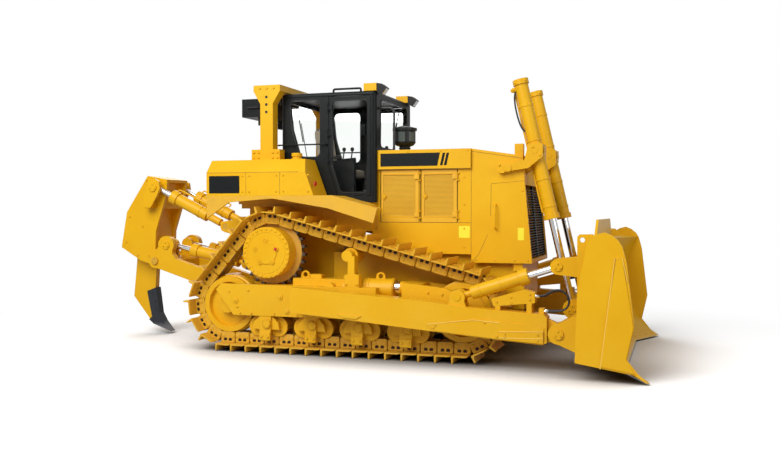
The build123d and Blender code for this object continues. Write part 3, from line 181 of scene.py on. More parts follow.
SENSOR_MM, LENS_MM = 36.0, 40.65
CAMERA_PLACE, CAMERA_DOWN, CAMERA_TURN = (4.190, -11.723, 1.856), 1.19, 18.27
camera_data = bpy.data.cameras.new("camera")
camera_data.sensor_width, camera_data.lens = SENSOR_MM, LENS_MM
camera = bpy.data.objects.new("camera", camera_data)
camera.location = CAMERA_PLACE
camera.rotation_euler = (radians(90 - CAMERA_DOWN), 0.0, radians(CAMERA_TURN))
bpy.context.scene.collection.objects.link(camera)
bpy.context.scene.camera = camera
bpy.context.scene.view_settings.view_transform = "Standard"

# ---------------------------------------------------------------- main frame and engine
# The case, cross bars and engine are castings and thick plate, welded and bolted together
# and sprayed with the same golden enamel as the rest, which is dustier down low.


class Finish:
    """A procedural material: a principled shader with signals for what varies."""

    CLOUD_ROUGHNESS, EDGE_SAMPLES = 0.55, 4

    def __init__(self, name):
        self.material, self.tree, self.output = blank_material(name)
        self.shader = self.make("ShaderNodeBsdfPrincipled")
        self.tree.links.new(self.shader.outputs[0], self.output.inputs["Surface"])
        place = self.make("ShaderNodeTexCoord")
        self.place = Signal(place.outputs["Object"])
        split = self.make("ShaderNodeSeparateXYZ", sockets={0: self.place})
        self.x, self.y, self.z = (Signal(split.outputs[i]) for i in range(3))

    def make(self, kind, settings=(), sockets=()):
        """A node in this material's tree."""
        return make(self.tree, kind, settings, sockets)

    def noise(self, scale, detail=3.0):
        """A cloudy signal, finer as the scale grows."""
        node = self.make("ShaderNodeTexNoise", sockets={
            "Vector": self.place, "Scale": scale, "Detail": detail,
            "Roughness": self.CLOUD_ROUGHNESS})
        return Signal(node.outputs["Fac"])

    def attribute(self, name):
        """A signal from the mesh's own attribute."""
        node = self.make("ShaderNodeAttribute", {"attribute_name": name})
        return Signal(node.outputs["Fac"])

    def step(self, signal, low, high):
        """0 below low, 1 above high and straight between."""
        return ((signal - low) * (1.0 / (high - low))).clamped()

    def mix(self, share, first, second):
        """One colour turning into another as a signal goes from 0 to 1."""
        node = self.make("ShaderNodeMix", {"data_type": "RGBA"},
                         {"Factor": share, 6: first, 7: second})
        return Signal(node.outputs[2])

    def bump(self, height, depth, edge=None):
        """The surface pushed by a signal, with its edges rounded by a small radius."""
        sockets = {"Height": height, "Strength": 1.0, "Distance": depth}
        if edge:
            soft = self.make("ShaderNodeBevel", {"samples": self.EDGE_SAMPLES},
                             {"Radius": edge})
            sockets["Normal"] = Signal(soft.outputs[0])
        self.wire(Normal=Signal(self.make("ShaderNodeBump", sockets=sockets).outputs[0]))

    def wire(self, **sockets):
        """Values or signals for the shader's sockets, their blanks written as _."""
        for name, value in sockets.items():
            target = self.shader.inputs[name.replace("_", " ")]
            if isinstance(value, Signal):
                self.tree.links.new(value.socket, target)
            else:
                target.default_value = value


ENAMEL, ENAMEL_PALE = rgb(0.82, 0.44, 0.004), rgb(0.86, 0.50, 0.012)
ENAMEL_DEEP, DUST = rgb(0.74, 0.36, 0.003), rgb(0.40, 0.24, 0.08)


def enamel(name, dust_top, dust_most, gloss=0.36):
    """Golden enamel, cloudy by a few per cent, with dust that fades out with height.

    The dust is (dust_top - z) / dust_top times a fine cloud, and no more than dust_most."""
    paint = Finish(name)
    cloud, fine = paint.noise(1.7), paint.noise(38.0, 5.0)
    colour = paint.mix(paint.step(cloud, 0.30, 0.70), ENAMEL_DEEP, ENAMEL_PALE)
    colour = paint.mix(0.62, colour, ENAMEL)
    low = paint.step(dust_top - paint.z, 0.0, dust_top)
    dirt = (low * paint.step(fine + cloud, 0.75, 1.35) * dust_most).clamped()
    paint.wire(Base_Color=paint.mix(dirt, colour, DUST),
               Roughness=(gloss + dirt * 0.5 + (fine - 0.5) * 0.10).clamped(),
               Specular_IOR_Level=0.22, Coat_Weight=0.05, Coat_Roughness=0.2)
    paint.bump(fine, 0.0006, edge=0.006)
    return paint.material


def cloudy(name, scale, first, second, rough, spread=0.0, detail=3.0, depth=None, edge=None,
           **others):
    """A finish of two colours mixed by one cloud, which can vary roughness and height too."""
    finish = Finish(name)
    cloud = finish.noise(scale, detail)
    finish.wire(Base_Color=finish.mix(cloud, rgb(*first), rgb(*second)),
                Roughness=rough + cloud * spread if spread else rough, **others)
    if depth:
        finish.bump(cloud, depth, edge)
    return finish.material


def dress(finish, *nodes):
    """Gives CAD solids a finish."""
    for name in nodes:
        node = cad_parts[name]
        if not node.material_slots:
            node.data.materials.append(finish)
        for slot in node.material_slots:
            slot.material = finish


body_enamel = enamel("body_enamel", 1.2, 0.15)
engine_iron = cloudy("engine_iron", 6.0, (0.035, 0.033, 0.03), (0.10, 0.085, 0.06), 0.55, 0.3,
                     depth=0.002)
dress(body_enamel, "main_frame")
dress(engine_iron, "engine")

# ---------------------------------------------------------------- wheels in the tracks
# Forged idlers, rollers and bolted sprocket segments, painted, with bright worn treads where
# the links run; the drives' covers are cast and held by rings of bolts.


def ring_faces(rings, sides, wrap_rings=False):
    """Faces of a grid of rings with a closed round, and its two ends closed."""
    ring = np.arange(rings if wrap_rings else rings - 1)[:, None]
    side = np.arange(sides)[None, :]
    after, beside = (ring + 1) % rings, (side + 1) % sides
    quads = np.stack([ring * sides + side, ring * sides + beside,
                      after * sides + beside, after * sides + side], axis=-1)
    faces = quads.reshape(-1, 4).tolist()
    if not wrap_rings:
        faces.append(list(range(sides))[::-1])
        faces.append(list(range((rings - 1) * sides, rings * sides)))
    return faces


def turned(profile, sides=24):
    """A profile of (radius, height) turned about the local Z axis.

    Each point is (r cos t, r sin t, h) for evenly spaced angles t."""
    radius, height = np.array(profile, float).T
    turn = np.arange(sides) * 2 * np.pi / sides
    points = np.stack([radius[:, None] * np.cos(turn), radius[:, None] * np.sin(turn),
                       height[:, None] + 0 * turn], axis=-1)
    return points.reshape(-1, 3), ring_faces(len(profile), sides)


def stamped(shape, spots, axes, ups=(0.0, 0.0, 1.0)):
    """Copies of a shape, its own Z along each axis, at each spot.

    With z the axis, x = up cross z and y = z cross x, a point is spot + px x + py y + pz z."""
    points, faces = shape
    spots = np.atleast_2d(np.array(spots, float))
    z = np.broadcast_to(np.array(axes, float), spots.shape)
    z = z / np.linalg.norm(z, axis=1, keepdims=True)
    x = np.cross(np.broadcast_to(np.array(ups, float), spots.shape), z)
    flat = np.linalg.norm(x, axis=1, keepdims=True) < 1e-6
    x = np.where(flat, np.array([1.0, 0.0, 0.0]), x)
    x = x / np.linalg.norm(x, axis=1, keepdims=True)
    y = np.cross(z, x)
    turned_points = (points[None, :, 0:1] * x[:, None] + points[None, :, 1:2] * y[:, None]
                     + points[None, :, 2:3] * z[:, None] + spots[:, None])
    step = len(points)
    copies = [[corner + i * step for corner in face] for i in range(len(spots)) for face in faces]
    return turned_points.reshape(-1, 3), copies


def joined(*shapes):
    """Several shapes as one."""
    starts = np.cumsum([0] + [len(points) for points, faces in shapes])
    points = np.concatenate([points for points, faces in shapes])
    faces = [[corner + start for corner in face]
             for (shape_points, shape_faces), start in zip(shapes, starts)
             for face in shape_faces]
    return points, faces


def flipped(shape):
    """The mirror image of a shape on the machine's other side, its faces turned back."""
    points, faces = shape
    return points * [1, -1, 1], [face[::-1] for face in faces]


def twin(shape):
    """A right-hand shape and its mirror image on the left."""
    return joined(shape, flipped(shape))


def outward(shape):
    """A shape with its faces turned so that they point outwards, by its signed volume.

    The volume is a sixth of the sum over a fan of triangles of a . (b x c)."""
    points, faces = shape
    fan = np.array([(face[0], face[i], face[i + 1]) for face in faces
                    for i in range(1, len(face) - 1)])
    a, b, c = points[fan[:, 0]], points[fan[:, 1]], points[fan[:, 2]]
    if (a * np.cross(b, c)).sum() < 0:
        faces = [face[::-1] for face in faces]
    return points, faces


def fit(name, shape, finish, body="tractor", smooth=30.0, slot=None):
    """Makes a shape a piece of the machine, on one of its bodies."""
    points, faces = shape
    mesh = bpy.data.meshes.new(name)
    mesh.from_pydata(np.asarray(points, float).tolist(), [], faces)
    mesh.materials.append(finish)
    if smooth:
        mesh.shade_smooth()
        mesh.set_sharp_from_angle(angle=radians(smooth))
    piece = bpy.data.objects.new(name, mesh)
    bpy.context.scene.collection.objects.link(piece)
    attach(piece, body)
    return piece


def pair(name, finish, *shapes, **choices):
    """Right-hand shapes and their mirror images as one piece of the machine."""
    return fit(name, twin(joined(*shapes)), finish, **choices)


def pair_apart(body, *pieces):
    """Right-hand shapes on one of two bodies and their mirror images on the other.

    Each piece is a name, a finish and a shape."""
    for side in ("right", "left"):
        for name, finish, shape in pieces:
            fit(f"{name}_{side}", shape if side == "right" else flipped(shape), finish,
                f"{body}_{side}")


def bolt(radius, height=None):
    """A hexagonal bolt head on its washer, its base a little sunk."""
    tall = height or radius * 0.9
    return turned([(radius * 1.45, -0.002), (radius * 1.45, radius * 0.22),
                   (radius, radius * 0.22), (radius, tall * 0.88), (radius * 0.8, tall)], 6)


RIGHT, UP, FRONT = (0.0, -1.0, 0.0), (0.0, 0.0, 1.0), (1.0, 0.0, 0.0)
track_enamel = enamel("undercarriage_enamel", 1.5, 0.22, gloss=0.42)
dress(track_enamel, "idlers", "track_rollers", "carrier_rollers", "final_drives")

worn_teeth = Finish("sprocket_finish")
SPROCKET = np.array([-0.965, 1.320])
out = ((worn_teeth.x - SPROCKET[0]) ** 2.0 + (worn_teeth.z - SPROCKET[1]) ** 2.0) ** 0.5
grit = worn_teeth.noise(30.0)
bare = worn_teeth.step(out + grit * 0.03, 0.425, 0.445)
worn_teeth.wire(Base_Color=worn_teeth.mix(bare, rgb(0.62, 0.33, 0.03), rgb(0.10, 0.08, 0.065)),
                Metallic=bare * 0.8, Roughness=0.45 + grit * 0.2)
worn_teeth.bump(grit, 0.001, edge=0.004)
dress(worn_teeth.material, "sprockets")

DRIVE_FACE, COVER_FACE = -1.290, -1.302
RIM_BOLTS, LOBE_COUNT = 28, 5


def on_circle(centre, y, radius, angles):
    """Places on a circle in the X Z plane: centre + radius (cos a, sin a)."""
    angles = np.asarray(angles, float)
    return np.c_[centre[0] + radius * np.cos(angles), np.full(len(angles), y),
                 centre[1] + radius * np.sin(angles)]


def hoop(profile, sides=40):
    """A ring: a closed profile of (radius, height) turned about the local Z axis."""
    points, faces = turned(profile, sides)
    return outward((points, ring_faces(len(profile), sides, wrap_rings=True)))


def bead(radius, width, proud, sides=64):
    """A raised round bead on a flat face."""
    return hoop([(radius - width / 2, -0.002), (radius - width / 4, proud),
                 (radius + width / 4, proud), (radius + width / 2, -0.002)], sides)


rim = np.arange(RIM_BOLTS) * 2 * np.pi / RIM_BOLTS
lobes = np.radians(90 + 72 * np.arange(LOBE_COUNT))
hub_spot = on_circle(SPROCKET, DRIVE_FACE, 0.0, [0.0])
lobe_spots = on_circle(SPROCKET, COVER_FACE, 0.150, lobes)
nut = turned([(0.0215, -0.030), (0.0215, 0.004), (0.017, 0.009), (0.008, 0.009)], 8)
pair("drive_bolts", track_enamel,
    stamped(nut, on_circle(SPROCKET, DRIVE_FACE, 0.312, rim), RIGHT),
    stamped(bead(0.270, 0.012, 0.0035), hub_spot, RIGHT),
    stamped(bead(0.030, 0.008, 0.003, 20), lobe_spots, RIGHT),
    stamped(bolt(0.011), lobe_spots[:4], RIGHT))

red_cap = cloudy("red_cap", 40.0, (0.50, 0.015, 0.012), (0.62, 0.03, 0.02), 0.4)
pair("drive_plugs", red_cap, stamped(bolt(0.016, 0.016), lobe_spots[4:], RIGHT))

# ---------------------------------------------------------------- tracks
# Forty-five forged links a side on pressed pins, each with a rolled shoe that four bolts hold.
# The painted links are rubbed bright on their rails and bushings, and their pockets carry painted
# shade.
PITCH, LINK_COUNT, PHASE = 0.2159, 45, 0.9
LEGS = np.array([          # start x and z, heading, length, then the wheel that follows
    [-1.5750, 0.1580, 0.0, 3.220926, 1.645926, 0.6120, 0.4540],
    [1.765069, 1.050088, 164.7860, 2.705197, -0.9650, 1.3200, 0.4560],
    [-1.311098, 1.616904, 229.3758, 0.934053, -1.5750, 0.6120, 0.4540],
])
TURNS = np.radians([164.7860, 64.5898, 130.6242])


def loop_places(distance):
    """Where links stand on the loop: x, z and heading for distances along it.

    A straight leg gives start + distance times its heading; an arc turns about its wheel by
    distance over radius."""
    legs, arcs = LEGS[:, 3], LEGS[:, 6] * TURNS
    starts = np.cumsum(np.r_[0.0, (legs + arcs)[:-1]])
    distance = distance % (legs + arcs).sum()
    run = (distance[:, None] >= starts[None, :]).sum(axis=1) - 1
    leg, along_leg = LEGS[run], distance - starts[run]
    heading = np.radians(leg[:, 2])
    past = np.maximum(along_leg - leg[:, 3], 0.0) / leg[:, 6]
    straight = np.minimum(along_leg, leg[:, 3])
    x = leg[:, 0] + straight * np.cos(heading)
    z = leg[:, 1] + straight * np.sin(heading)
    on_wheel = past > 0
    angle = heading - np.pi / 2 + past
    x = np.where(on_wheel, leg[:, 4] + leg[:, 6] * np.cos(angle), x)
    z = np.where(on_wheel, leg[:, 5] + leg[:, 6] * np.sin(angle), z)
    return x, z, heading + past


link_x, link_z, link_turn = loop_places((np.arange(LINK_COUNT) + PHASE) * PITCH)
TRACK_MIDDLE = -1.0415


def on_links(shape, across=0.0):
    """Copies of a shape on every link: its x along the link, y across and z inwards.

    A point is link + x (cos t, sin t) + z (-sin t, cos t) in the plane of the loop."""
    points, faces = shape
    cosine, sine = np.cos(link_turn)[:, None], np.sin(link_turn)[:, None]
    x = link_x[:, None] + points[None, :, 0] * cosine - points[None, :, 2] * sine
    z = link_z[:, None] + points[None, :, 0] * sine + points[None, :, 2] * cosine
    y = np.broadcast_to(TRACK_MIDDLE + across + points[None, :, 1], x.shape)
    step = len(points)
    copies = [[corner + i * step for corner in face]
              for i in range(LINK_COUNT) for face in faces]
    return np.stack([x, y, z], axis=-1).reshape(-1, 3), copies


def crosswise(outline, stations):
    """An outline in x and z carried across; each station is y and a shrink of the outline.

    A point is middle + (corner - middle) times the shrink."""
    outline = np.array(outline, float)
    stations = np.array(stations, float)
    middle = outline.mean(axis=0)
    shrunk = middle + (outline - middle)[None] * stations[:, 1][:, None, None]
    y = np.broadcast_to(stations[:, 0][:, None], shrunk.shape[:2])
    points = np.stack([shrunk[..., 0], y, shrunk[..., 1]], axis=-1)
    return outward((points.reshape(-1, 3), ring_faces(len(stations), len(outline))))


SHOE = [(-0.104, -0.062), (-0.104, -0.100), (-0.1015, -0.150), (-0.098, -0.1578),
        (-0.088, -0.1578), (-0.085, -0.150), (-0.080, -0.088), (-0.072, -0.0785),
        (0.070, -0.0785), (0.096, -0.0735), (0.104, -0.066), (0.103, -0.061),
        (0.090, -0.060), (-0.090, -0.060)]
shoe = crosswise(SHOE, [(-0.280, 0.90), (-0.276, 1.0), (0.276, 1.0), (0.280, 0.90)])
shoe_points, shoe_faces = shoe
clipped = (np.abs(shoe_points[:, 1]) > 0.279) & (shoe_points[:, 2] < -0.12)
shoe_points[:, 2] += np.where(clipped, 0.012, 0.0)
LINK = [(-0.103, -0.044), (-0.096, -0.060), (0.096, -0.060), (0.103, -0.044), (0.103, 0.056),
        (0.094, 0.078), (0.060, 0.0835), (-0.060, 0.0835), (-0.094, 0.078), (-0.103, 0.056)]
link = crosswise(LINK, [(-0.024, 0.95), (-0.019, 1.0), (0.019, 1.0), (0.024, 0.95)])
# The pockets are thin plates on the links' sides, coloured near black as painted shade for the
# recesses.
POCKET = [(-0.024, -0.016), (0.018, -0.016), (0.026, 0.006), (0.014, 0.022), (-0.015, 0.022),
          (-0.025, 0.006)]
pockets = joined(*[
    crosswise(np.array(POCKET) + [x, -0.022], [(y, 1.0), (y + 0.0015, 1.0)])
    for x in (-0.034, 0.038) for y in (-0.1246, 0.1231)])
boss = turned([(0.030, -0.004), (0.030, 0.003), (0.024, 0.006), (0.010, 0.006)], 14)
bosses = stamped(boss, [(-0.068, -0.124, 0.030), (0.068, -0.124, 0.030)], RIGHT)
inner_bosses = flipped(bosses)
BUSHING_RADIUS, BUSHING_X = 0.034, 0.104
round_turn = np.arange(10) * np.pi / 5
bushing = crosswise(np.c_[BUSHING_RADIUS * np.cos(round_turn) + BUSHING_X,
                          BUSHING_RADIUS * np.sin(round_turn)], [(-0.078, 1.0), (0.078, 1.0)])
shoe_bolts = stamped(bolt(0.015, 0.014), [(x, y, -0.078) for x in (-0.030, 0.052)
                                          for y in (-0.128, -0.072, 0.072, 0.128)],
                     (0, 0, -1), (1, 0, 0))

chain_finish = Finish("track_finish")
rub, grain = chain_finish.attribute("rub"), chain_finish.noise(24.0, 5.0)
broad = chain_finish.noise(3.0)
bright = chain_finish.step(rub + (grain - 0.5) * 0.9, 0.62, 0.80)
pocket_shade = chain_finish.attribute("pocket_shade")
soil = (chain_finish.step(1.05 - chain_finish.z, 0.0, 1.0)
        * chain_finish.step(grain + broad, 0.70, 1.30) * 0.25).clamped()
chain_colour = chain_finish.mix(soil, chain_finish.mix(broad, rgb(0.66, 0.34, 0.012),
                                                       rgb(0.78, 0.44, 0.03)),
                                rgb(0.30, 0.21, 0.12))
chain_colour = chain_finish.mix(bright, chain_colour, rgb(0.52, 0.42, 0.30))
# The pockets' attribute turns the colour near black: painted shade in the link pockets.
chain_finish.wire(Base_Color=chain_finish.mix(pocket_shade, chain_colour, rgb(0.030, 0.010, 0.003)),
                  Metallic=bright * 0.6, Specular_IOR_Level=0.25,
                  Roughness=(0.5 + soil * 0.3 - bright * 0.15).clamped())
chain_finish.bump(grain, 0.0012, edge=0.004)

rail_share = np.clip((link[0][:, 2] - 0.076) / 0.006, 0, 1) * 0.8
PARTS = [                  # shape, place across, share rubbed bright, share in shadow
    (shoe, 0.0, 0.0, 0.0), (link, -0.100, rail_share, 0.0), (link, 0.100, rail_share, 0.0),
    (pockets, 0.0, 0.0, 1.0), (bosses, 0.0, 0.0, 0.0), (inner_bosses, 0.0, 0.0, 0.0),
    (bushing, 0.0, 0.6, 0.0), (shoe_bolts, 0.0, 0.2, 0.0),
]
chain = joined(*[on_links(shape, across) for shape, across, rubbed, dark in PARTS])
shares = [np.broadcast_to(np.c_[np.broadcast_to(rubbed, len(shape[0])),
                                np.full(len(shape[0]), dark)],
                          (LINK_COUNT, len(shape[0]), 2)).reshape(-1, 2)
          for shape, across, rubbed, dark in PARTS]
rub_values, pocket_shade_values = np.concatenate(shares).T.astype(np.float32)
for side, loop in (("right", chain), ("left", flipped(chain))):
    piece = fit(f"chain_{side}", loop, chain_finish.material, "tractor", slot="track_steel")
    for attribute, values in (("rub", rub_values), ("pocket_shade", pocket_shade_values)):
        layer = piece.data.attributes.new(attribute, "FLOAT", "POINT")
        layer.data.foreach_set("value", np.ascontiguousarray(values))
    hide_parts(f"track_{side}")

# ---------------------------------------------------------------- track frames
# Welded box frames with the recoil springs' tubes on top; bogies hang below on pins, and
# their caps and the guards are bolted on.
dress(track_enamel, "track_frame_right", "track_frame_left", "bogies")
chrome = cloudy("chrome", 18.0, (0.72, 0.73, 0.74), (0.84, 0.84, 0.83), 0.12, 0.10,
                Metallic=1.0)


def at(y, *places):
    """Places on a plane across the machine, from their x and z."""
    return [(x, y, z) for x, z in places]


def cap_ring(place, ring, size):
    """Three keeper bolts on a pin's cap."""
    spots = on_circle((place[0], place[2]), place[1], ring, np.radians((90, 210, 330)))
    return stamped(bolt(size), spots, RIGHT)


BOGIE_X = np.array([-0.982, -0.336, 0.304, 0.950])
FRAME_FACE = -1.300
feet = [(x + dx, -1.306, 0.221) for x in BOGIE_X for dx in (-0.046, 0.046)]
caps = [(x + 0.026, -1.308, 0.388) for x in BOGIE_X]
flange_bolts = [(x, FRAME_FACE, 0.520) for x in np.arange(-1.34, 1.40, 0.165)
                if np.abs(BOGIE_X - x).min() > 0.12 and abs(x + 0.66) > 0.06]
nose_bolts = at(FRAME_FACE, (1.24, 0.86), (1.42, 0.84), (1.24, 0.52), (1.40, 0.50),
    (1.58, 0.55), (1.62, 0.76), (-1.50, 0.80), (-1.38, 0.60), (-1.22, 0.82))
post_feet = [(x, -1.298, 0.935) for x in (0.160, 0.305)]
pair("frame_bolts", track_enamel, stamped(bolt(0.017), feet, RIGHT),
    *[cap_ring(cap, 0.042, 0.009) for cap in caps],
    stamped(turned([(0.052, -0.002), (0.052, 0.004), (0.022, 0.006)], 18), caps, RIGHT),
    stamped(bead(0.058, 0.007, 0.005, 24), caps, RIGHT),
    stamped(bolt(0.014), flange_bolts + nose_bolts, RIGHT),
    stamped(bolt(0.015), post_feet, RIGHT))
sleeve = hoop([(0.0815, 0.0), (0.0848, 0.001), (0.0848, 0.071), (0.0815, 0.072)])
band = hoop([(0.130, 0.0), (0.143, 0.002), (0.143, 0.028), (0.130, 0.030)])
pair("recoil_sleeves", chrome, stamped(sleeve, [(0.742, TRACK_MIDDLE, 0.888)], FRONT),
    slot="chrome_rod")
pair("recoil_bands", track_enamel,
    stamped(band, [(x, TRACK_MIDDLE, 0.866) for x in (0.085, 0.385, 0.700)], FRONT))
plug_ring = turned([(0.020, -0.002), (0.020, 0.007), (0.012, 0.010)], 12)
pair("frame_plugs", track_enamel, stamped(plug_ring, [(-1.407, -1.310, 0.686),
        (-0.759, -1.310, 0.746), (-0.660, -1.310, 0.560)], RIGHT))

# ---------------------------------------------------------------- hood and side panels
# Folded sheet on frames: the doors' middles are perforated plate, whose holes are painted shade,
# and a black band with slanted stripes runs along the hood's edge.
dress(body_enamel, "hood", "side_panels")


def sheet_piece(outline, y, thick=0.0016):
    """A thin flat plate on a side face: an outline in x and z, standing off by its own
    thickness, with its rim chamfered."""
    return crosswise(outline, [(y + 0.0006, 1.0), (y - thick * 0.6, 1.0),
                                    (y - thick, 0.999)])


def rounded_outline(x0, x1, z0, z1, radius, arc=5):
    """A rectangle in x and z with round corners: centre + radius (cos t, sin t) at each."""
    centres = np.array([(x1 - radius, z1 - radius), (x0 + radius, z1 - radius),
                        (x0 + radius, z0 + radius), (x1 - radius, z0 + radius)])
    turn = np.radians(np.arange(4)[:, None] * 90 + np.linspace(0, 90, arc)[None, :])
    ring = centres[:, None] + radius * np.stack([np.cos(turn), np.sin(turn)], axis=-1)
    return ring.reshape(-1, 2).tolist()


def seam(route, y, width=0.005, thick=0.0008):
    """A narrow flat strip along a route in x and z, for the shadow line of a joint.

    Its two edges are the route moved by half the width along the mean normal."""
    route = np.array(route, float)
    run = np.gradient(route, axis=0)
    run /= np.linalg.norm(run, axis=1, keepdims=True)
    aside = np.c_[-run[:, 1], run[:, 0]] * width / 2
    outline = np.concatenate([route + aside, (route - aside)[::-1]])
    return crosswise(outline, [(y + 0.0004, 1.0), (y - thick, 1.0)])


black_gloss = cloudy("black_enamel", 26.0, (0.005, 0.007, 0.007), (0.011, 0.013, 0.013), 0.30,
                     0.12, depth=0.0003, edge=0.004, Specular_IOR_Level=0.16)
joint_shadow = cloudy("joint_shadow", 9.0, (0.20, 0.09, 0.004), (0.30, 0.14, 0.008), 0.7)
HOOD_FACE, BODY_FACE = -0.720, -0.680
stripes = [sheet_piece([(x, 2.455), (x + 0.034, 2.455), (x + 0.070, 2.615), (x + 0.036, 2.615)],
                       HOOD_FACE) for x in (1.236, 1.288)]
pair("hood_band", black_gloss,
    sheet_piece(rounded_outline(0.425, 1.185, 2.450, 2.620, 0.006), HOOD_FACE),
    sheet_piece([(1.185, 2.450), (1.200, 2.450), (1.236, 2.620), (1.185, 2.620)], HOOD_FACE),
    *stripes, slot="black_paint")
lines = [
    ([(0.305, 2.412), (1.638, 2.412)], HOOD_FACE), ([(1.640, 2.412), (1.640, 1.320)], BODY_FACE),
    ([(1.900, 2.212), (2.323, 2.245), (2.394, 1.815)], BODY_FACE),
    ([(1.853, 1.560), (1.800, 1.440), (1.730, 1.300), (1.642, 1.212)], BODY_FACE),
    ([(1.900, 2.212), (1.892, 1.800)], BODY_FACE),
    ([(0.420, 1.716), (1.636, 1.716)], BODY_FACE), ([(1.648, 2.628), (2.296, 2.526)], BODY_FACE),
]
pair("hood_seams", joint_shadow, *[seam(route, y) for route, y in lines], smooth=None)
gaps = [([(0.960, 1.722), (0.960, 2.402)], 0.012), ([(0.411, 1.722), (0.411, 2.402)], 0.006),
        ([(1.462, 1.722), (1.462, 2.402)], 0.006), ([(0.411, 2.4065), (1.462, 2.4065)], 0.006)]
pair("door_gaps", black_gloss, *[seam(route, BODY_FACE, width) for route, width in gaps],
    smooth=None)
label = cloudy("blank_label", 14.0, (0.93, 0.80, 0.02), (0.97, 0.86, 0.05), 0.35)
pair("blank_labels", label,
    sheet_piece(rounded_outline(1.478, 1.622, 1.520, 1.672, 0.010), BODY_FACE),
    sheet_piece(rounded_outline(2.240, 2.318, 1.496, 1.652, 0.008), BODY_FACE))


def tube(route, radius, sides=12, corner=0.0, steps=6):
    """A round tube along a route of points, its corners rounded by a curve.

    Each corner is a quadratic curve from `corner` before it to `corner` after it. A ring of
    points stands square to the mean direction at each station, on two axes carried along."""
    route = np.array(route, float)
    stations = [route[0]]
    share = np.linspace(0, 1, steps)[:, None]
    for before, here, after in zip(route, route[1:], route[2:]):
        if corner:
            a = here + (before - here) / np.linalg.norm(before - here) * corner
            b = here + (after - here) / np.linalg.norm(after - here) * corner
            stations.extend((1 - share) ** 2 * a + 2 * share * (1 - share) * here
                            + share ** 2 * b)
        else:
            stations.append(here)
    path = np.array(stations + [route[-1]])
    run = np.gradient(path, axis=0)
    run /= np.linalg.norm(run, axis=1, keepdims=True)
    spread = np.linalg.svd(route - route.mean(axis=0))[2]
    binormal = spread[2] if len(route) > 2 else np.cross(run[0], run[0][[1, 2, 0]] + 0.3)
    side = np.cross(run, binormal)
    side /= np.linalg.norm(side, axis=1, keepdims=True)
    rise = np.cross(run, side)
    turn = np.arange(sides) * 2 * np.pi / sides
    rings = (path[:, None] + radius * (np.cos(turn)[None, :, None] * side[:, None]
                                       + np.sin(turn)[None, :, None] * rise[:, None]))
    return outward((rings.reshape(-1, 3), ring_faces(len(path), sides)))


pair("guard_handles", body_enamel, tube([(1.958, BODY_FACE + 0.004, 1.640),
        (1.958, -0.745, 1.640), (1.958, -0.745, 1.950), (1.958, BODY_FACE + 0.004, 1.950)],
        0.011, corner=0.035))
hood_bolts = [(x, HOOD_FACE, 2.640) for x in (0.36, 0.80, 1.24, 1.60)]
guard_bolts = at(BODY_FACE, (1.70, 1.24), (1.95, 1.24), (2.20, 1.24), (2.37, 1.24),
    (2.30, 2.12), (2.26, 2.46))
panel_bolts = [(x, BODY_FACE, z) for x in (0.36, 1.55) for z in (1.40, 1.64, 1.95, 2.30)]
pair("hood_bolts", body_enamel,
    stamped(bolt(0.009), hood_bolts + guard_bolts + panel_bolts, RIGHT))

perforated = Finish("perforated_plate")
HOLE_PITCH = 0.016
column, row = perforated.x / HOLE_PITCH, perforated.z / HOLE_PITCH
half = (row - row.fraction()) * 0.5
across = (column + half.fraction()).fraction() - 0.5
up = row.fraction() - 0.5
hole = 1.0 - perforated.step(across * across + up * up, 0.060, 0.095)
sides = [perforated.step(out_y, 0.6690, 0.6700) * (1.0 - perforated.step(out_y, 0.6725, 0.6735))
         for out_y in (perforated.y * -1.0, perforated.y)]
shaded_holes = (sides[0] + sides[1]).clamped() * hole
door_cloud = perforated.noise(3.0)
# The holes are coloured dark brown: painted shade of the space behind the plate.
perforated.wire(Base_Color=perforated.mix(shaded_holes * 0.85, perforated.mix(
    door_cloud, ENAMEL_DEEP, ENAMEL_PALE), rgb(0.12, 0.055, 0.004)),
    Roughness=0.38 + shaded_holes * 0.4)
perforated.bump(1.0 - shaded_holes, 0.002, edge=0.004)
dress(perforated.material, "engine_door_rear_right", "engine_door_front_right",
      "engine_door_rear_left", "engine_door_front_left")
DOORS = (("rear", 0.422, 0.939), ("front", 0.981, 1.451))
for which, x0, x1 in DOORS:
    latch = joined(
        stamped(turned([(0.026, -0.002), (0.026, 0.006), (0.018, 0.010)], 16),
                [(x0 + 0.045, BODY_FACE, 2.060)], RIGHT),
        crosswise(rounded_outline(x0 + 0.037, x0 + 0.053, 2.020, 2.100, 0.006),
                       [(BODY_FACE - 0.008, 1.0), (BODY_FACE - 0.016, 0.94)]),
        *[sheet_piece(rounded_outline(x0 + 0.030 - 0.010, x1 - 0.035, z, z + 0.008, 0.003),
                      BODY_FACE, 0.003) for z in (1.786, 2.345)])
    pair_apart(f"engine_door_{which}", (f"{which}_door_latch", body_enamel, latch))

# ---------------------------------------------------------------- radiator guard
# A heavy plate surround with round lifting points; black louvre bars stand behind its front.
dress(body_enamel, "radiator_guard")
dress(black_gloss, "radiator_grille")

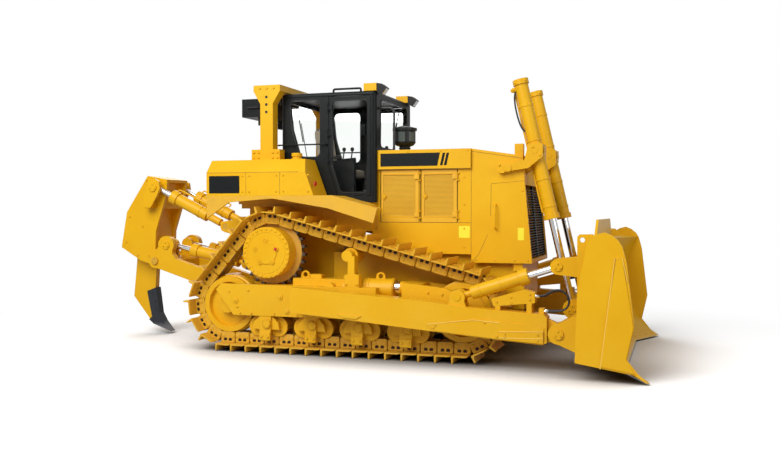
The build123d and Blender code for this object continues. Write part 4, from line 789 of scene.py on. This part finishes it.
# ---------------------------------------------------------------- deck and tanks
# Pressed tread plate on the deck, a fuel tank and its mate in bent plate behind the cab, with
# a filler on top and a blank black plate on each side.
tread = Finish("deck_plate")
lump = ((tread.x * 0.7 + tread.y * 0.7) / 0.022).fraction() - 0.5
cross_lump = ((tread.x * 0.7 - tread.y * 0.7) / 0.022).fraction() - 0.5
raised = 1.0 - tread.step(lump * lump + cross_lump * cross_lump, 0.03, 0.07)
mud = tread.noise(5.0, 5.0)
tread.wire(Base_Color=tread.mix(mud * 0.35, ENAMEL, DUST), Roughness=0.42 + mud * 0.2)
tread.bump(raised * tread.step(tread.z, 1.90, 1.95), 0.0015, edge=0.005)
dress(tread.material, "platform")
dress(body_enamel, "tank_right", "tank_left")
TANK_FACE, TANK_TOP = -1.300, 2.545
pair("tank_plates", black_gloss,
    sheet_piece(rounded_outline(-1.795, -1.345, 2.100, 2.330, 0.012), TANK_FACE, 0.004),
    slot="black_paint")
tank_lines = [[(-1.250, 2.080), (-1.250, 2.372)], [(-0.760, 2.080), (-0.760, 2.372)],
              [(-1.832, 2.372), (-0.500, 2.372)]]
pair("tank_seams", joint_shadow, *[seam(route, TANK_FACE) for route in tank_lines], smooth=None)
tank_bolts = [(x, TANK_FACE, z) for x in (-1.30, -1.20, -0.81, -0.71, -0.36)
              for z in (2.120, 2.330)]
filler = turned([(0.078, -0.004), (0.078, 0.012), (0.060, 0.016), (0.060, 0.040), (0.072, 0.044),
                 (0.072, 0.078), (0.064, 0.086), (0.020, 0.088)], 24)
pair("tank_fittings", body_enamel, stamped(bolt(0.011), tank_bolts, RIGHT),
    stamped(bolt(0.010), [(x, -1.02, TANK_TOP) for x in (-1.75, -1.20, -0.60)], UP, FRONT),
    stamped(filler, [(-0.640, -1.020, TANK_TOP)], UP, FRONT))
lens = cloudy("red_lens", 120.0, (0.50, 0.01, 0.01), (0.70, 0.03, 0.02), 0.15, 0.1)
reflector = turned([(0.034, -0.002), (0.034, 0.006), (0.028, 0.011), (0.010, 0.013)], 20)
pair("reflectors", lens, stamped(reflector, [(-0.285, -1.245, 2.215)], FRONT))
FENDER_SPOT = (0.455, TANK_FACE + 0.095, 1.9325 - (0.455 - 0.42) * 0.27)
pair("fender_pads", body_enamel, stamped(turned([(0.050, -0.003), (0.050, 0.006),
        (0.040, 0.012), (0.012, 0.012)], 20), [FENDER_SPOT], (0.26, 0, 0.96)))

# ---------------------------------------------------------------- roll bar
# Two box posts and a cross beam of thick plate, bolted down beside the cab.
dress(body_enamel, "rops")
POST_FACE = -1.023
# Near-black discs on the posts stand for their holes: painted shade, not openings.
hole_painted_shade = cloudy("hole_painted_shade", 50.0, (0.012, 0.010, 0.008), (0.03, 0.025, 0.02), 0.8)
pair("post_holes", hole_painted_shade, stamped(turned([(0.019, -0.001), (0.019, 0.0012),
        (0.004, 0.0014)], 16), [(-1.085, POST_FACE, z) for z in (3.390, 3.290, 3.190)], RIGHT),
    smooth=None)
foot_bolts = [(x, POST_FACE, z) for x in (-1.27, -1.20, -0.99, -0.925) for z in (2.580, 2.650)]
beam_bolts = [(x, POST_FACE, 3.507) for x in (-1.180, -1.080, -0.980)]
pair("roll_bar_bolts", body_enamel, stamped(bolt(0.014), foot_bolts + beam_bolts, RIGHT))

# ---------------------------------------------------------------- cab
# A black welded cab with bonded tinted glass, rubber seals and steel doors; the seat, console
# and levers inside show through the windows.
dress(black_gloss, "cab_shell", "cab_door_right", "cab_door_left")
glass = cloudy("tinted_glass", 2.2, (0.965, 0.985, 0.970), (0.985, 0.995, 0.99), 0.02, 0.03,
               Transmission_Weight=1.0, IOR=1.02)
dress(glass, "cab_glass", "door_glass_right", "door_glass_left")
rubber = cloudy("black_rubber", 34.0, (0.010, 0.010, 0.010), (0.030, 0.029, 0.027), 0.55, 0.2,
                depth=0.0004)
CAB_FACE = -0.800


def rounded_path(points, radius, arc=5):
    """A closed outline with its corners cut round: each corner becomes a quadratic curve."""
    points = np.array(points, float)
    before, after = np.roll(points, 1, axis=0), np.roll(points, -1, axis=0)
    into = (before - points) / np.linalg.norm(before - points, axis=1, keepdims=True)
    away = (after - points) / np.linalg.norm(after - points, axis=1, keepdims=True)
    share = np.linspace(0, 1, arc)[None, :, None]
    a, b = points + into * radius, points + away * radius
    curve = ((1 - share) ** 2 * a[:, None] + 2 * share * (1 - share) * points[:, None]
             + share ** 2 * b[:, None])
    return curve.reshape(-1, 2)


def seal(outline, place, width=0.016, proud=0.006):
    """A rubber seal round a window: a flat band of three edges lofted along its outline.

    `place` turns outline points and a height off the face into points in space."""
    outline = np.array(outline)
    middle = outline.mean(axis=0)
    reach = np.linalg.norm(outline - middle, axis=1, keepdims=True)
    aside = (outline - middle) / reach
    rows = [(0.0, -0.001), (0.002, proud), (width - 0.002, proud), (width, -0.001)]
    rings = np.stack([place(outline + aside * step, rise) for step, rise in rows], axis=1)
    return outward((rings.reshape(-1, 3), ring_faces(len(outline), 4, wrap_rings=True)))


def on_side(points, rise):
    """Points in x and z on the cab's right face, and a height off it."""
    return np.c_[points[:, 0], np.full(len(points), CAB_FACE) - rise, points[:, 1]]


def on_front(points, rise):
    """Points in y and z on the cab's front face, and a height off it."""
    return np.c_[np.full(len(points), 0.385) + rise, points]


def on_rear(points, rise):
    """Points in y and z on the cab's rear face, and a height off it."""
    return np.c_[np.full(len(points), -0.975) - rise, points]


SIDE_WINDOW = [(-0.838, 3.345), (-0.405, 3.345), (-0.405, 2.595), (-0.690, 2.600),
               (-0.800, 2.960)]
DOOR_WINDOW = [(-0.225, 3.325), (0.268, 3.325), (0.268, 2.120), (-0.108, 2.120),
               (-0.225, 2.480)]
END_WINDOWS = ([(-0.600, 2.720), (0.600, 2.720), (0.570, 3.350), (-0.570, 3.350)],
               [(-0.600, 2.640), (0.600, 2.640), (0.570, 3.350), (-0.570, 3.350)])
fit("window_seals", joined(twin(seal(rounded_path(SIDE_WINDOW, 0.070), on_side)),
        seal(rounded_path(END_WINDOWS[0], 0.070), on_front), seal(rounded_path(END_WINDOWS[1],
        0.070), on_rear)), rubber)
door_seal = seal(rounded_path(DOOR_WINDOW, 0.045), on_side, 0.013)
handle = joined(
    sheet_piece(rounded_outline(0.175, 0.235, 2.860, 3.005, 0.012), CAB_FACE, 0.006),
    tube([(0.205, CAB_FACE, 2.975), (0.205, CAB_FACE - 0.045, 2.965),
          (0.205, CAB_FACE - 0.045, 2.885), (0.205, CAB_FACE, 2.875)], 0.009, corner=0.018))
pair_apart("cab_door", ("door_seal", rubber, door_seal),
           ("door_handle", black_gloss, handle))

rail = tube([(-1.000, CAB_FACE + 0.002, 2.754), (-1.000, -0.850, 2.754), (-0.300, -0.850, 2.754),
             (-0.300, CAB_FACE + 0.002, 2.754)], 0.010, corner=0.022)
roof_rail = tube([(-0.221, -0.765, 3.444), (-0.221, -0.765, 3.488), (0.168, -0.765, 3.488),
                  (0.168, -0.765, 3.444)], 0.014, corner=0.024)
wiper = joined(
    tube([(0.392, -0.10, 2.700), (0.400, 0.14, 3.240)], 0.006, 8),
    tube([(0.396, -0.02, 2.960), (0.396, 0.20, 3.290)], 0.008, 8),
    stamped(turned([(0.022, -0.002), (0.022, 0.014), (0.010, 0.018)], 14),
            [(0.385, -0.10, 2.700)], FRONT))
rear_wiper = joined(
    tube([(-0.982, 0.10, 2.620), (-0.990, -0.10, 3.120)], 0.006, 8),
    tube([(-0.986, -0.04, 2.860), (-0.986, -0.20, 3.220)], 0.008, 8))
fit("cab_rails", joined(twin(rail), twin(roof_rail), wiper, rear_wiper), black_gloss)
gutter = crosswise([(-0.940, 3.398), (0.350, 3.398), (0.350, 3.412), (-0.940, 3.412)],
                   [(CAB_FACE + 0.001, 1.0), (CAB_FACE - 0.012, 0.999)])
pair("cab_gutters", black_gloss, gutter)

fabric = Finish("seat_fabric")
weave = ((fabric.x / 0.004).fraction() - 0.5) * ((fabric.y / 0.004).fraction() - 0.5)
worn_patch = fabric.noise(7.0)
fabric.wire(Base_Color=fabric.mix(worn_patch, rgb(0.36, 0.30, 0.22), rgb(0.46, 0.39, 0.30)),
            Roughness=0.85)
fabric.bump(weave, 0.0008)
trim = cloudy("cab_plastic", 90.0, (0.012, 0.013, 0.013), (0.030, 0.031, 0.030), 0.6, 0.15,
              depth=0.0005, Specular_IOR_Level=0.2)
dress(trim, "console")


def cushion(centre, size, lean=0.0, power=0.28, across=28, around=40):
    """A stuffed pad: a superellipsoid, its x and z leaning about the Y axis.

    With s(t) the signed power of a cosine or sine, x = a s(cos v) s(cos u), y = b s(cos v)
    s(sin u), z = c s(sin v)."""
    def bent(value):
        return np.sign(value) * np.abs(value) ** power
    v = np.linspace(-np.pi / 2 + 0.02, np.pi / 2 - 0.02, across)[:, None]
    u = np.arange(around)[None, :] * 2 * np.pi / around
    a, b, c = np.array(size) / 2
    x = a * bent(np.cos(v)) * bent(np.cos(u))
    y = b * bent(np.cos(v)) * bent(np.sin(u))
    z = c * bent(np.sin(v)) + 0 * u
    tilted = np.stack([x * np.cos(lean) - z * np.sin(lean), y,
                       x * np.sin(lean) + z * np.cos(lean)], axis=-1) + np.array(centre)
    return outward((tilted.reshape(-1, 3), ring_faces(across, around)))


seat_base = joined(
    crosswise([(-0.560, 2.002), (-0.200, 2.002), (-0.230, 2.100), (-0.250, 2.290),
                    (-0.510, 2.290), (-0.530, 2.100)], [(-0.18, 0.94), (-0.165, 1.0),
                                                        (0.165, 1.0), (0.18, 0.94)]),
    crosswise([(-0.640, 2.290), (-0.150, 2.290), (-0.140, 2.325), (-0.640, 2.325)],
                   [(-0.245, 0.97), (-0.235, 1.0), (0.235, 1.0), (0.245, 0.97)]),
    twin(tube([(-0.585, -0.245, 2.420), (-0.585, -0.285, 2.600), (-0.300, -0.285, 2.620)],
              0.022, corner=0.05)))
pads = [
    ("seat_frame", seat_base, trim, None),
    ("seat_cushion", cushion((-0.375, 0, 2.385), (0.49, 0.50, 0.130)), fabric.material, 0.7),
    ("seat_back", cushion((-0.640, 0, 2.720), (0.115, 0.48, 0.600), lean=0.16),
     fabric.material, 0.7),
    ("head_rest", cushion((-0.690, 0, 2.975), (0.090, 0.30, 0.130), lean=0.16),
     fabric.material, 0.7),
]
for name, shape, finish, fill in pads:
    piece = fit(name, shape, finish, "tractor", slot="seat_fabric")
    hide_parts("operator_seat")
knob = turned([(0.008, 0.0), (0.020, 0.010), (0.026, 0.030), (0.022, 0.052), (0.008, 0.060)], 14)
stick_feet = np.array([(0.150, 0.30, 2.62), (0.150, -0.30, 2.62), (-0.120, -0.380, 2.56),
                       (-0.240, -0.380, 2.56), (-0.120, 0.380, 2.56)])
sticks = [tube([foot - [0, 0, 0.01], foot + [0.02, 0, 0.13]], 0.009, 8) for foot in stick_feet]
fit("control_levers", joined(*sticks, stamped(knob, stick_feet + [0.02, 0, 0.12], UP, FRONT)),
    rubber)
screen = Finish("gauge_panel")
dial = ((screen.y / 0.09).fraction() - 0.5) ** 2.0 + (((screen.z - 2.55) / 0.09).fraction()
                                                      - 0.5) ** 2.0
face = 1.0 - screen.step(dial, 0.10, 0.13)
screen.wire(Base_Color=screen.mix(face, rgb(0.03, 0.03, 0.03), rgb(0.55, 0.55, 0.52)),
            Roughness=0.25 + face * 0.1)
panel = crosswise([(0.105, 2.520), (0.112, 2.515), (0.176, 2.655), (0.168, 2.660)],
                  [(-0.22, 1.0), (0.22, 1.0)])
fit("gauge_panel", panel, screen.material)

# ---------------------------------------------------------------- lamps
# Work lamps in pressed housings on the roof and under the cooler behind; their lenses are
# clear ribbed glass over a bright reflector.
lamp_finish = Finish("lamp_housing")
is_head = lamp_finish.step(lamp_finish.x, 0.3835, 0.3845)
is_rear = 1.0 - lamp_finish.step(lamp_finish.x, -1.0, -0.99)
dark = (is_head + is_rear).clamped()
lamp_cloud = lamp_finish.noise(12.0)
lamp_finish.wire(Base_Color=lamp_finish.mix(dark, ENAMEL, rgb(0.010, 0.010, 0.010)),
                 Specular_IOR_Level=0.2, Roughness=0.34 + lamp_cloud * 0.1)
lamp_finish.bump(lamp_cloud, 0.0004, edge=0.005)
dress(lamp_finish.material, "lamps")
lens_glass = Finish("lamp_lens")
rib = (lens_glass.y / 0.012).fraction() - 0.5
lens_glass.wire(Base_Color=lens_glass.mix(rib * rib * 4.0, rgb(0.62, 0.64, 0.66),
                                          rgb(0.90, 0.91, 0.92)),
                Metallic=0.6, Roughness=0.12)
lens_glass.bump(rib * rib, 0.001)


def lens_plate(centre, axis, width, height):
    """A shallow domed lens: a grid w u by h v on the plane square to its axis, with a bulge
    of one minus the fourth powers of u and v."""
    u, v = np.meshgrid(np.linspace(-1, 1, 13), np.linspace(-1, 1, 9))
    bulge = 0.006 * (1 - u ** 4) * (1 - v ** 4)
    axis = np.array(axis, float) / np.linalg.norm(axis)
    side = np.array([0.0, 1.0, 0.0])
    rise = np.cross(axis, side)
    top = (np.array(centre) + u[..., None] * side * width / 2
           + v[..., None] * rise * height / 2 + (bulge[..., None] + 0.001) * axis)
    base = top - (bulge[..., None] + 0.003) * axis
    points = np.concatenate([top.reshape(-1, 3), base.reshape(-1, 3)])
    cell = (np.arange(8)[:, None] * 13 + np.arange(12)[None, :]).reshape(-1, 1)
    upper = cell + np.array([0, 1, 14, 13])
    lower = upper[:, ::-1] + 117
    edge = np.r_[np.arange(13), np.arange(25, 117, 13), np.arange(115, 103, -1),
                 np.arange(91, 0, -13)]
    after = np.roll(edge, -1)
    wall = np.stack([edge, edge + 117, after + 117, after], axis=1)
    return outward((points, np.concatenate([upper, lower, wall]).tolist()))


lenses = [lens_plate((0.487, y, 3.439), (0.92, 0, -0.70), 0.112, 0.090)
          for y in (-0.695, 0.695)]
lenses += [lens_plate((-1.530, y, 3.142), (-1, 0, 0), 0.100, 0.095) for y in (-0.320, 0.320)]
fit("lamp_lenses", joined(*lenses), lens_glass.material)

# ---------------------------------------------------------------- air conditioner
# A sheet-metal cooler on brackets behind the cab, with vents and a carrying handle.
dress(black_gloss, "air_conditioner")
vents = [crosswise([(-1.768, z), (-1.7645, z - 0.004), (-1.7645, z + 0.012)],
                   [(-0.36, 1.0), (0.36, 1.0)]) for z in np.arange(3.240, 3.430, 0.024)]
side_handle = tube([(-1.66, -0.418, 3.330), (-1.66, -0.455, 3.330), (-1.50, -0.455, 3.330),
                    (-1.50, -0.418, 3.330)], 0.009, corner=0.016)
top_handle = tube([(-1.560, -0.300, 3.450), (-1.550, -0.300, 3.515), (-1.400, -0.300, 3.530),
                   (-1.330, -0.300, 3.470)], 0.012, corner=0.04)
fit("cooler_trim", joined(*vents, twin(side_handle), twin(top_handle)), rubber)

# ---------------------------------------------------------------- precleaner and grab rail
# A moulded bowl with small clear windows and a screwed cap on the air intake, and a bent
# pipe from the hood up to the cab's corner.
bowl = Finish("precleaner_plastic")
around = bowl.make("ShaderNodeMath", {"operation": "ARCTAN2"},
                   {0: bowl.y + 0.300, 1: bowl.x - 0.630})
port = ((Signal(around.outputs[0]) * (6 / (2 * np.pi))).fraction() - 0.5) ** 2.0
window = ((1.0 - bowl.step(port, 0.085, 0.10)) * bowl.step(bowl.z, 2.800, 2.803)
          * (1.0 - bowl.step(bowl.z, 2.925, 2.928)))
dull = bowl.noise(20.0)
bowl.wire(Base_Color=bowl.mix(window, bowl.mix(dull, rgb(0.008, 0.010, 0.010),
                                               rgb(0.020, 0.022, 0.022)),
                              rgb(0.09, 0.11, 0.10)), Specular_IOR_Level=0.3,
          Roughness=0.32 + dull * 0.1 - window * 0.2)
bowl.bump(1.0 - window * 0.6, 0.002, edge=0.004)
dress(bowl.material, "precleaner")
CLEANER = [(0.630, -0.300, 0.0)]
bands = joined(
    turned([(0.074, 2.700), (0.080, 2.702), (0.080, 2.722), (0.074, 2.724)], 32),
    turned([(0.018, 3.008), (0.018, 3.030), (0.012, 3.036)], 12),
    turned([(0.144, 2.7875), (0.150, 2.790), (0.150, 2.797), (0.144, 2.800)], 32))
fit("precleaner_trim", stamped(bands, CLEANER, UP, FRONT), black_gloss)
pipe_paint = cloudy("pipe_paint", 30.0, (0.012, 0.012, 0.013), (0.03, 0.03, 0.03), 0.35)
dress(pipe_paint, "grab_rail")

# ---------------------------------------------------------------- push arms
# Long welded box arms with a doubler plate; caps over the pins are held by ring bolts.
dress(track_enamel, "push_arm_right", "push_arm_left")
arm_bolts = at(-1.612, (1.40, 0.475), (1.42, 0.505), (2.02, 0.560), (2.16, 0.400))
front_bolts = at(-1.624, (2.26, 0.405), (2.26, 0.438), (2.64, 0.375), (2.64, 0.440))
guard_screws = at(-1.565, (2.15, 0.80), (2.32, 0.79), (2.32, 0.86), (2.54, 0.84), (2.54, 0.90))
arm_beads = [tube([(x, y, z) for x, z in route], 0.0055, 6) for y, route in (
    (-1.6125, [(1.323, 0.512), (1.875, 0.584), (2.190, 0.560)]),
    (-1.6245, [(2.188, 0.461), (2.701, 0.478), (2.701, 0.398), (2.188, 0.387)]))]
pair("arm_bolts", track_enamel, stamped(bolt(0.012), guard_screws, RIGHT),
    stamped(bolt(0.012), arm_bolts, RIGHT), stamped(bolt(0.011), front_bolts, RIGHT),
    body="push_arms")
# The weld beads are coloured paler than the enamel: a painted highlight along the ridges.
highlight_bead = cloudy("weld_bead_painted_highlight", 60.0, (0.84, 0.52, 0.05), (0.92, 0.66, 0.16), 0.35)
pair("arm_beads", highlight_bead, *arm_beads, body="push_arms")

# ---------------------------------------------------------------- tilt hoses
# Wire-braided rubber hoses from the guard on each arm round to the fitting at its front.
hose_rubber = cloudy("hose_rubber", 160.0, (0.012, 0.012, 0.012), (0.032, 0.031, 0.030), 0.45,
                     0.15, detail=2.0, depth=0.0008)
TILT_Y, HOSE_APART, HOSE_RADIUS = 1.490, 0.032, 0.011
HOSES = {
    "outer": (0.825, TILT_Y + HOSE_APART, [
        (2.597, 0.880), (2.697, 0.880), (2.780, 0.945), (2.883, 0.963), (2.969, 0.903),
        (2.987, 0.800), (2.930, 0.718), (2.816, 0.702), (2.700, 0.702)]),
    "inner": (0.806, TILT_Y - HOSE_APART, [
        (2.597, 0.866), (2.690, 0.866), (2.775, 0.925), (2.872, 0.950), (2.960, 0.900),
        (2.985, 0.802), (2.935, 0.722), (2.820, 0.708), (2.700, 0.708)]),
}


def hose(name, places, body):
    """A rubber hose on a smooth curve drawn by its control points."""
    line = bpy.data.curves.new(name, "CURVE")
    line.dimensions, line.bevel_depth, line.bevel_resolution = "3D", HOSE_RADIUS, 6
    line.resolution_u, line.use_fill_caps = 16, True
    run = line.splines.new("NURBS")
    run.points.add(len(places) - 1)
    run.points.foreach_set("co", np.c_[places, np.ones(len(places))].ravel())
    run.order_u, run.use_endpoint_u = 3, True
    line.materials.append(hose_rubber)
    piece = bpy.data.objects.new(name, line)
    bpy.context.scene.collection.objects.link(piece)
    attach(piece, body)
    tuple(places[0])
    return piece


for which, (length, y, route) in HOSES.items():
    for side, sign in (("right", -1), ("left", 1)):
        piece = hose(f"hose_{which}_{side}", [(x, sign * y, z) for x, z in route],
                     "push_arms")
        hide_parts(f"tilt_hose_{which}_{side}")
coupling = turned([(0.0145, -0.004), (0.0145, 0.030), (0.0125, 0.034), (0.0115, 0.044)], 6)
ends = [(2.597, -TILT_Y - HOSE_APART, 0.880), (2.597, -TILT_Y + HOSE_APART, 0.866),
        (2.700, -TILT_Y - HOSE_APART, 0.702), (2.700, -TILT_Y + HOSE_APART, 0.708)]
pair("hose_couplings", chrome, stamped(coupling, ends, FRONT), body="push_arms")

# ---------------------------------------------------------------- blade
# A rolled moldboard between thick end plates; reversible edges and end bits of hard steel
# are held by countersunk plough bolts.
blade_enamel = enamel("blade_enamel", 1.1, 0.10)
dress(blade_enamel, "moldboard", "blade_brackets")
edge_finish = Finish("edge_steel")
scrape = edge_finish.noise(22.0, 6.0)
polish = edge_finish.step(0.040 - edge_finish.z + scrape * 0.04, 0.022, 0.050)
edge_finish.wire(Base_Color=edge_finish.mix(polish, ENAMEL, rgb(0.66, 0.50, 0.26)),
                 Metallic=polish * 0.5, Roughness=0.42 - polish * 0.1 + scrape * 0.08)
edge_finish.bump(scrape, 0.0008, edge=0.003)
dress(edge_finish.material, "cutting_edge")
EDGE_FOOT, EDGE_TOP, WING_START, WING_SWEEP = (3.597, 0.020), (3.486, 0.100), 1.290, 0.290
slope = np.array([EDGE_FOOT[0] - EDGE_TOP[0], EDGE_FOOT[1] - EDGE_TOP[1]])
edge_normal = (0.585, 0.0, 0.811)
bolt_y = np.arange(-1.86, 1.87, 0.155)
wing = np.clip((np.abs(bolt_y) - WING_START) / 0.640, 0, 1) * WING_SWEEP
edge_spots = np.c_[EDGE_TOP[0] + wing + slope[0] * 0.38, bolt_y,
                   np.full(len(bolt_y), EDGE_TOP[1] + slope[1] * 0.38)]
plough_head = turned([(0.017, -0.002), (0.017, 0.0016), (0.011, 0.0022), (0.004, 0.0010)], 14)
fit("edge_bolts", stamped(plough_head, edge_spots, edge_normal), edge_finish.material,
    body="blade")
END_FACE = -1.970
end_beads = tube(
    at(END_FACE + 0.002, (3.369, 0.146), (3.518, 1.348), (3.595, 1.360), (3.652, 1.100)),
    0.0055, 6)
# The end plate's beads carry the same painted highlight.
pair("end_beads", highlight_bead, end_beads, body="blade")
PIN_CAPS = {       # place of each cap's face, radius of its ring of bolts, bolt size
    "pitch": ((2.870, -1.620, 0.455), 0.036, 0.010),
    "tilt": ((2.863, -1.596, 1.226), 0.032, 0.009),
    "lift": ((2.9216, -0.709, 0.650), 0.040, 0.011),
}
pair("blade_pin_bolts", blade_enamel, *[cap_ring(*cap) for cap in PIN_CAPS.values()],
    body="blade")

# ---------------------------------------------------------------- cylinders
# Honed tubes with bolted heads and chromed rods. A steel pipe runs down the back of each lift
# cylinder, with a short hose beside it.
cylinder_enamel = enamel("cylinder_enamel", 0.9, 0.12)
dress(cylinder_enamel, "lift_barrels", "tilt_barrels", "lift_yokes", "ripper_lift_barrels",
      "ripper_pitch_barrels")
rod_finish = Finish("rod_chrome")
oil = rod_finish.noise(9.0)
RODS = (((2.9216, 0.650), 0.100), ((2.863, 1.226), 0.088), ((-3.031, 1.365), 0.076),
        ((-3.233, 2.220), 0.080))
eyes = 0.0
for (eye_x, eye_z), reach in RODS:
    near = ((rod_finish.x - eye_x) ** 2.0 + (rod_finish.z - eye_z) ** 2.0) ** 0.5
    eyes = (1.0 - rod_finish.step(near, reach, reach + 0.002)) + eyes
eyes = eyes.clamped()
rod_finish.wire(Base_Color=rod_finish.mix(eyes, rod_finish.mix(
    oil, rgb(0.76, 0.78, 0.79), rgb(0.88, 0.88, 0.88)), ENAMEL),
    Metallic=1.0 - eyes, Roughness=0.10 + oil * 0.08 + eyes * 0.25)
dress(rod_finish.material, "lift_rods", "tilt_rods", "ripper_lift_rods", "ripper_pitch_rods")


def along(start, end, distance):
    """The point at a distance from start towards end."""
    start, end = np.array(start, float), np.array(end, float)
    return start + (end - start) / np.linalg.norm(end - start) * distance


def head_bolts(start, end, distance, ring, size, count):
    """Bolts in a ring on a cylinder's shoulder, pointing from start to end."""
    axis = np.array(end, float) - np.array(start, float)
    axis /= np.linalg.norm(axis)
    side = np.cross(axis, (0.0, 1.0, 0.0))
    turn = np.arange(count)[:, None] * 2 * np.pi / count
    spots = along(start, end, distance) + ring * (np.cos(turn) * side
                                                  + np.sin(turn) * np.array([0, 1.0, 0]))
    return stamped(bolt(size), spots, axis, (0, 1, 0))


def strap(start, end, distance, radius, width):
    """A clamp band round a tube."""
    axis = np.array(end, float) - np.array(start, float)
    band_shape = hoop([(radius - 0.004, 0.0), (radius + 0.006, 0.002),
                       (radius + 0.006, width - 0.002), (radius - 0.004, width)], 32)
    return stamped(band_shape, [along(start, end, distance)], axis, (0, 1, 0))


LIFT = ((2.462, -0.607, 2.620), (2.9216, -0.607, 0.650))
LIFT_SPAN, TILT_SPAN, RIP_PITCH_SPAN = 2.0229, 1.2466, 1.3337     # from pin to pin at rest
lift_top = along(*LIFT, -0.922)
down = (np.array(LIFT[1]) - np.array(LIFT[0])) / LIFT_SPAN
back = np.array([-0.9738, 0.0, -0.2272])
pipe_line = [lift_top + down * reach + back * rise for reach, rise in (
    (0.090, 0.070), (0.090, 0.100), (1.700, 0.100), (1.700, 0.070))]
FEED_LENGTH, FEED_OUT = 0.535, 0.040
feed_line = [lift_top + down * reach + back * rise + [0, -FEED_OUT, 0] for reach, rise in (
    (0.650, 0.082), (0.615, 0.108), (0.520, 0.126), (0.390, 0.132), (0.270, 0.126),
    (0.170, 0.108), (0.135, 0.082))]
port = turned([(0.034, 0.070), (0.034, 0.122), (0.027, 0.126), (0.027, 0.138), (0.020, 0.146)], 6)
ear = turned([(0.020, 0.0), (0.026, 0.004), (0.026, 0.040), (0.016, 0.046)], 8)
ear_turn = np.radians([45, 135, 225, 315])[:, None]
ear_spots = lift_top - down * 0.002 + 0.086 * (np.cos(ear_turn) * back
                                               + np.sin(ear_turn) * np.array([0, 1.0, 0]))
pair("lift_pipes", cylinder_enamel, stamped(port, [lift_top + down * 0.105], back),
    stamped(ear, ear_spots, down), tube(pipe_line, 0.013, corner=0.025),
    *[strap(*LIFT, d, 0.085, 0.030) for d in (-0.60, -0.15, 0.35, 0.70)],
    head_bolts(LIFT[1], LIFT[0], LIFT_SPAN - 0.818, 0.0925, 0.0065, 10),
    head_bolts(*LIFT, -0.862, 0.0925, 0.0065, 10),
    head_bolts(LIFT[1], LIFT[0], LIFT_SPAN + 0.922, 0.070, 0.011, 6), body="lift_barrels")
for side, sign in (("right", 1), ("left", -1)):
    hose(f"lift_hose_{side}", [point * [1, sign, 1] for point in feed_line],
         "lift_barrels")
TILT = ((1.678, -TILT_Y, 0.839), (2.863, -TILT_Y, 1.226))
pair("tilt_fittings", cylinder_enamel,
    head_bolts(TILT[1], TILT[0], TILT_SPAN - 0.770, 0.088, 0.0065, 10),
    strap(*TILT, 0.260, 0.080, 0.024), strap(*TILT, 0.520, 0.080, 0.024), body="tilt_barrels")
RIP_LIFT = ((-1.750, -0.265, 1.104), (-3.031, -0.265, 1.365))
RIP_PITCH = ((-2.032, -0.350, 1.640), (-3.233, -0.350, 2.220))
pair("ripper_lift_fittings", cylinder_enamel, strap(*RIP_LIFT, 0.860, 0.085, 0.030),
    strap(*RIP_LIFT, 0.300, 0.085, 0.022), body="ripper_lift_barrels")
pair("ripper_pitch_fittings", cylinder_enamel,
    head_bolts(RIP_PITCH[1], RIP_PITCH[0], RIP_PITCH_SPAN - 0.905, 0.096, 0.0065, 10),
    strap(*RIP_PITCH, 0.480, 0.088, 0.022), tube([along(*RIP_PITCH, 0.430) + [0.02, 0, 0.100],
        along(*RIP_PITCH, 0.430) + [0.06, 0, 0.135],
        along(*RIP_PITCH, 0.930) + [0.04, 0, 0.135],
        along(*RIP_PITCH, 0.930) + [0.0, 0, 0.100]], 0.011, corner=0.02),
    body="ripper_pitch_barrels")
yoke_bolts = at(-0.755, (2.020, 2.440), (2.44, 2.66), (2.53, 2.56))
pair("yoke_bolts", cylinder_enamel, stamped(bolt(0.013), yoke_bolts, RIGHT))

# ---------------------------------------------------------------- ripper
# A box carriage of thick plate on a welded frame; the forged shank is held by a pin and its
# toe wears a bolted protector and a black tip.
ripper_enamel = enamel("ripper_enamel", 1.6, 0.12)
dress(ripper_enamel, "ripper_frame", "ripper_carriage", "ripper_shank")
pin_finish = cloudy("pin_steel", 16.0, (0.60, 0.33, 0.02), (0.72, 0.41, 0.03), 0.4, 0.15)
dress(pin_finish, "carriage_pin", "ripper_pitch_pins")
tip_finish = Finish("tip_steel")
pit = tip_finish.noise(26.0, 6.0)
point = tip_finish.step(0.16 - tip_finish.z + pit * 0.08, 0.03, 0.10)
tip_finish.wire(Base_Color=tip_finish.mix(point, rgb(0.010, 0.013, 0.020),
                                          rgb(0.16, 0.16, 0.17)),
                Metallic=point * 0.7, Roughness=0.38 + pit * 0.25)
tip_finish.bump(pit, 0.0014, edge=0.006)
dress(tip_finish.material, "ripper_tip")
D_CAP, F_CAP = (-3.233, -0.457, 2.220), (-3.031, -0.430, 1.365)
carriage_bolts = at(-0.285, (-3.80, 1.40), (-3.74, 1.78), (-3.40, 1.20), (-3.60, 1.20))
pair("carriage_bolts", ripper_enamel, cap_ring(D_CAP, 0.040, 0.011),
    stamped(bolt(0.014), carriage_bolts, RIGHT), body="ripper_carriage")
pair("frame_pin_bolts", ripper_enamel, cap_ring(F_CAP, 0.038, 0.011), body="ripper_frame")
pair("carriage_pin_bolts", pin_finish, cap_ring((-3.215, -0.440, 1.130), 0.032, 0.010),
    body="carriage_pin")
tip_bolts = [(-3.500, -0.062, 0.600), (-3.455, -0.062, 0.480), (-3.43, -0.062, 0.360)]
pair("tip_bolts", tip_finish.material, stamped(bolt(0.012), tip_bolts, RIGHT),
    body="ripper_carriage")
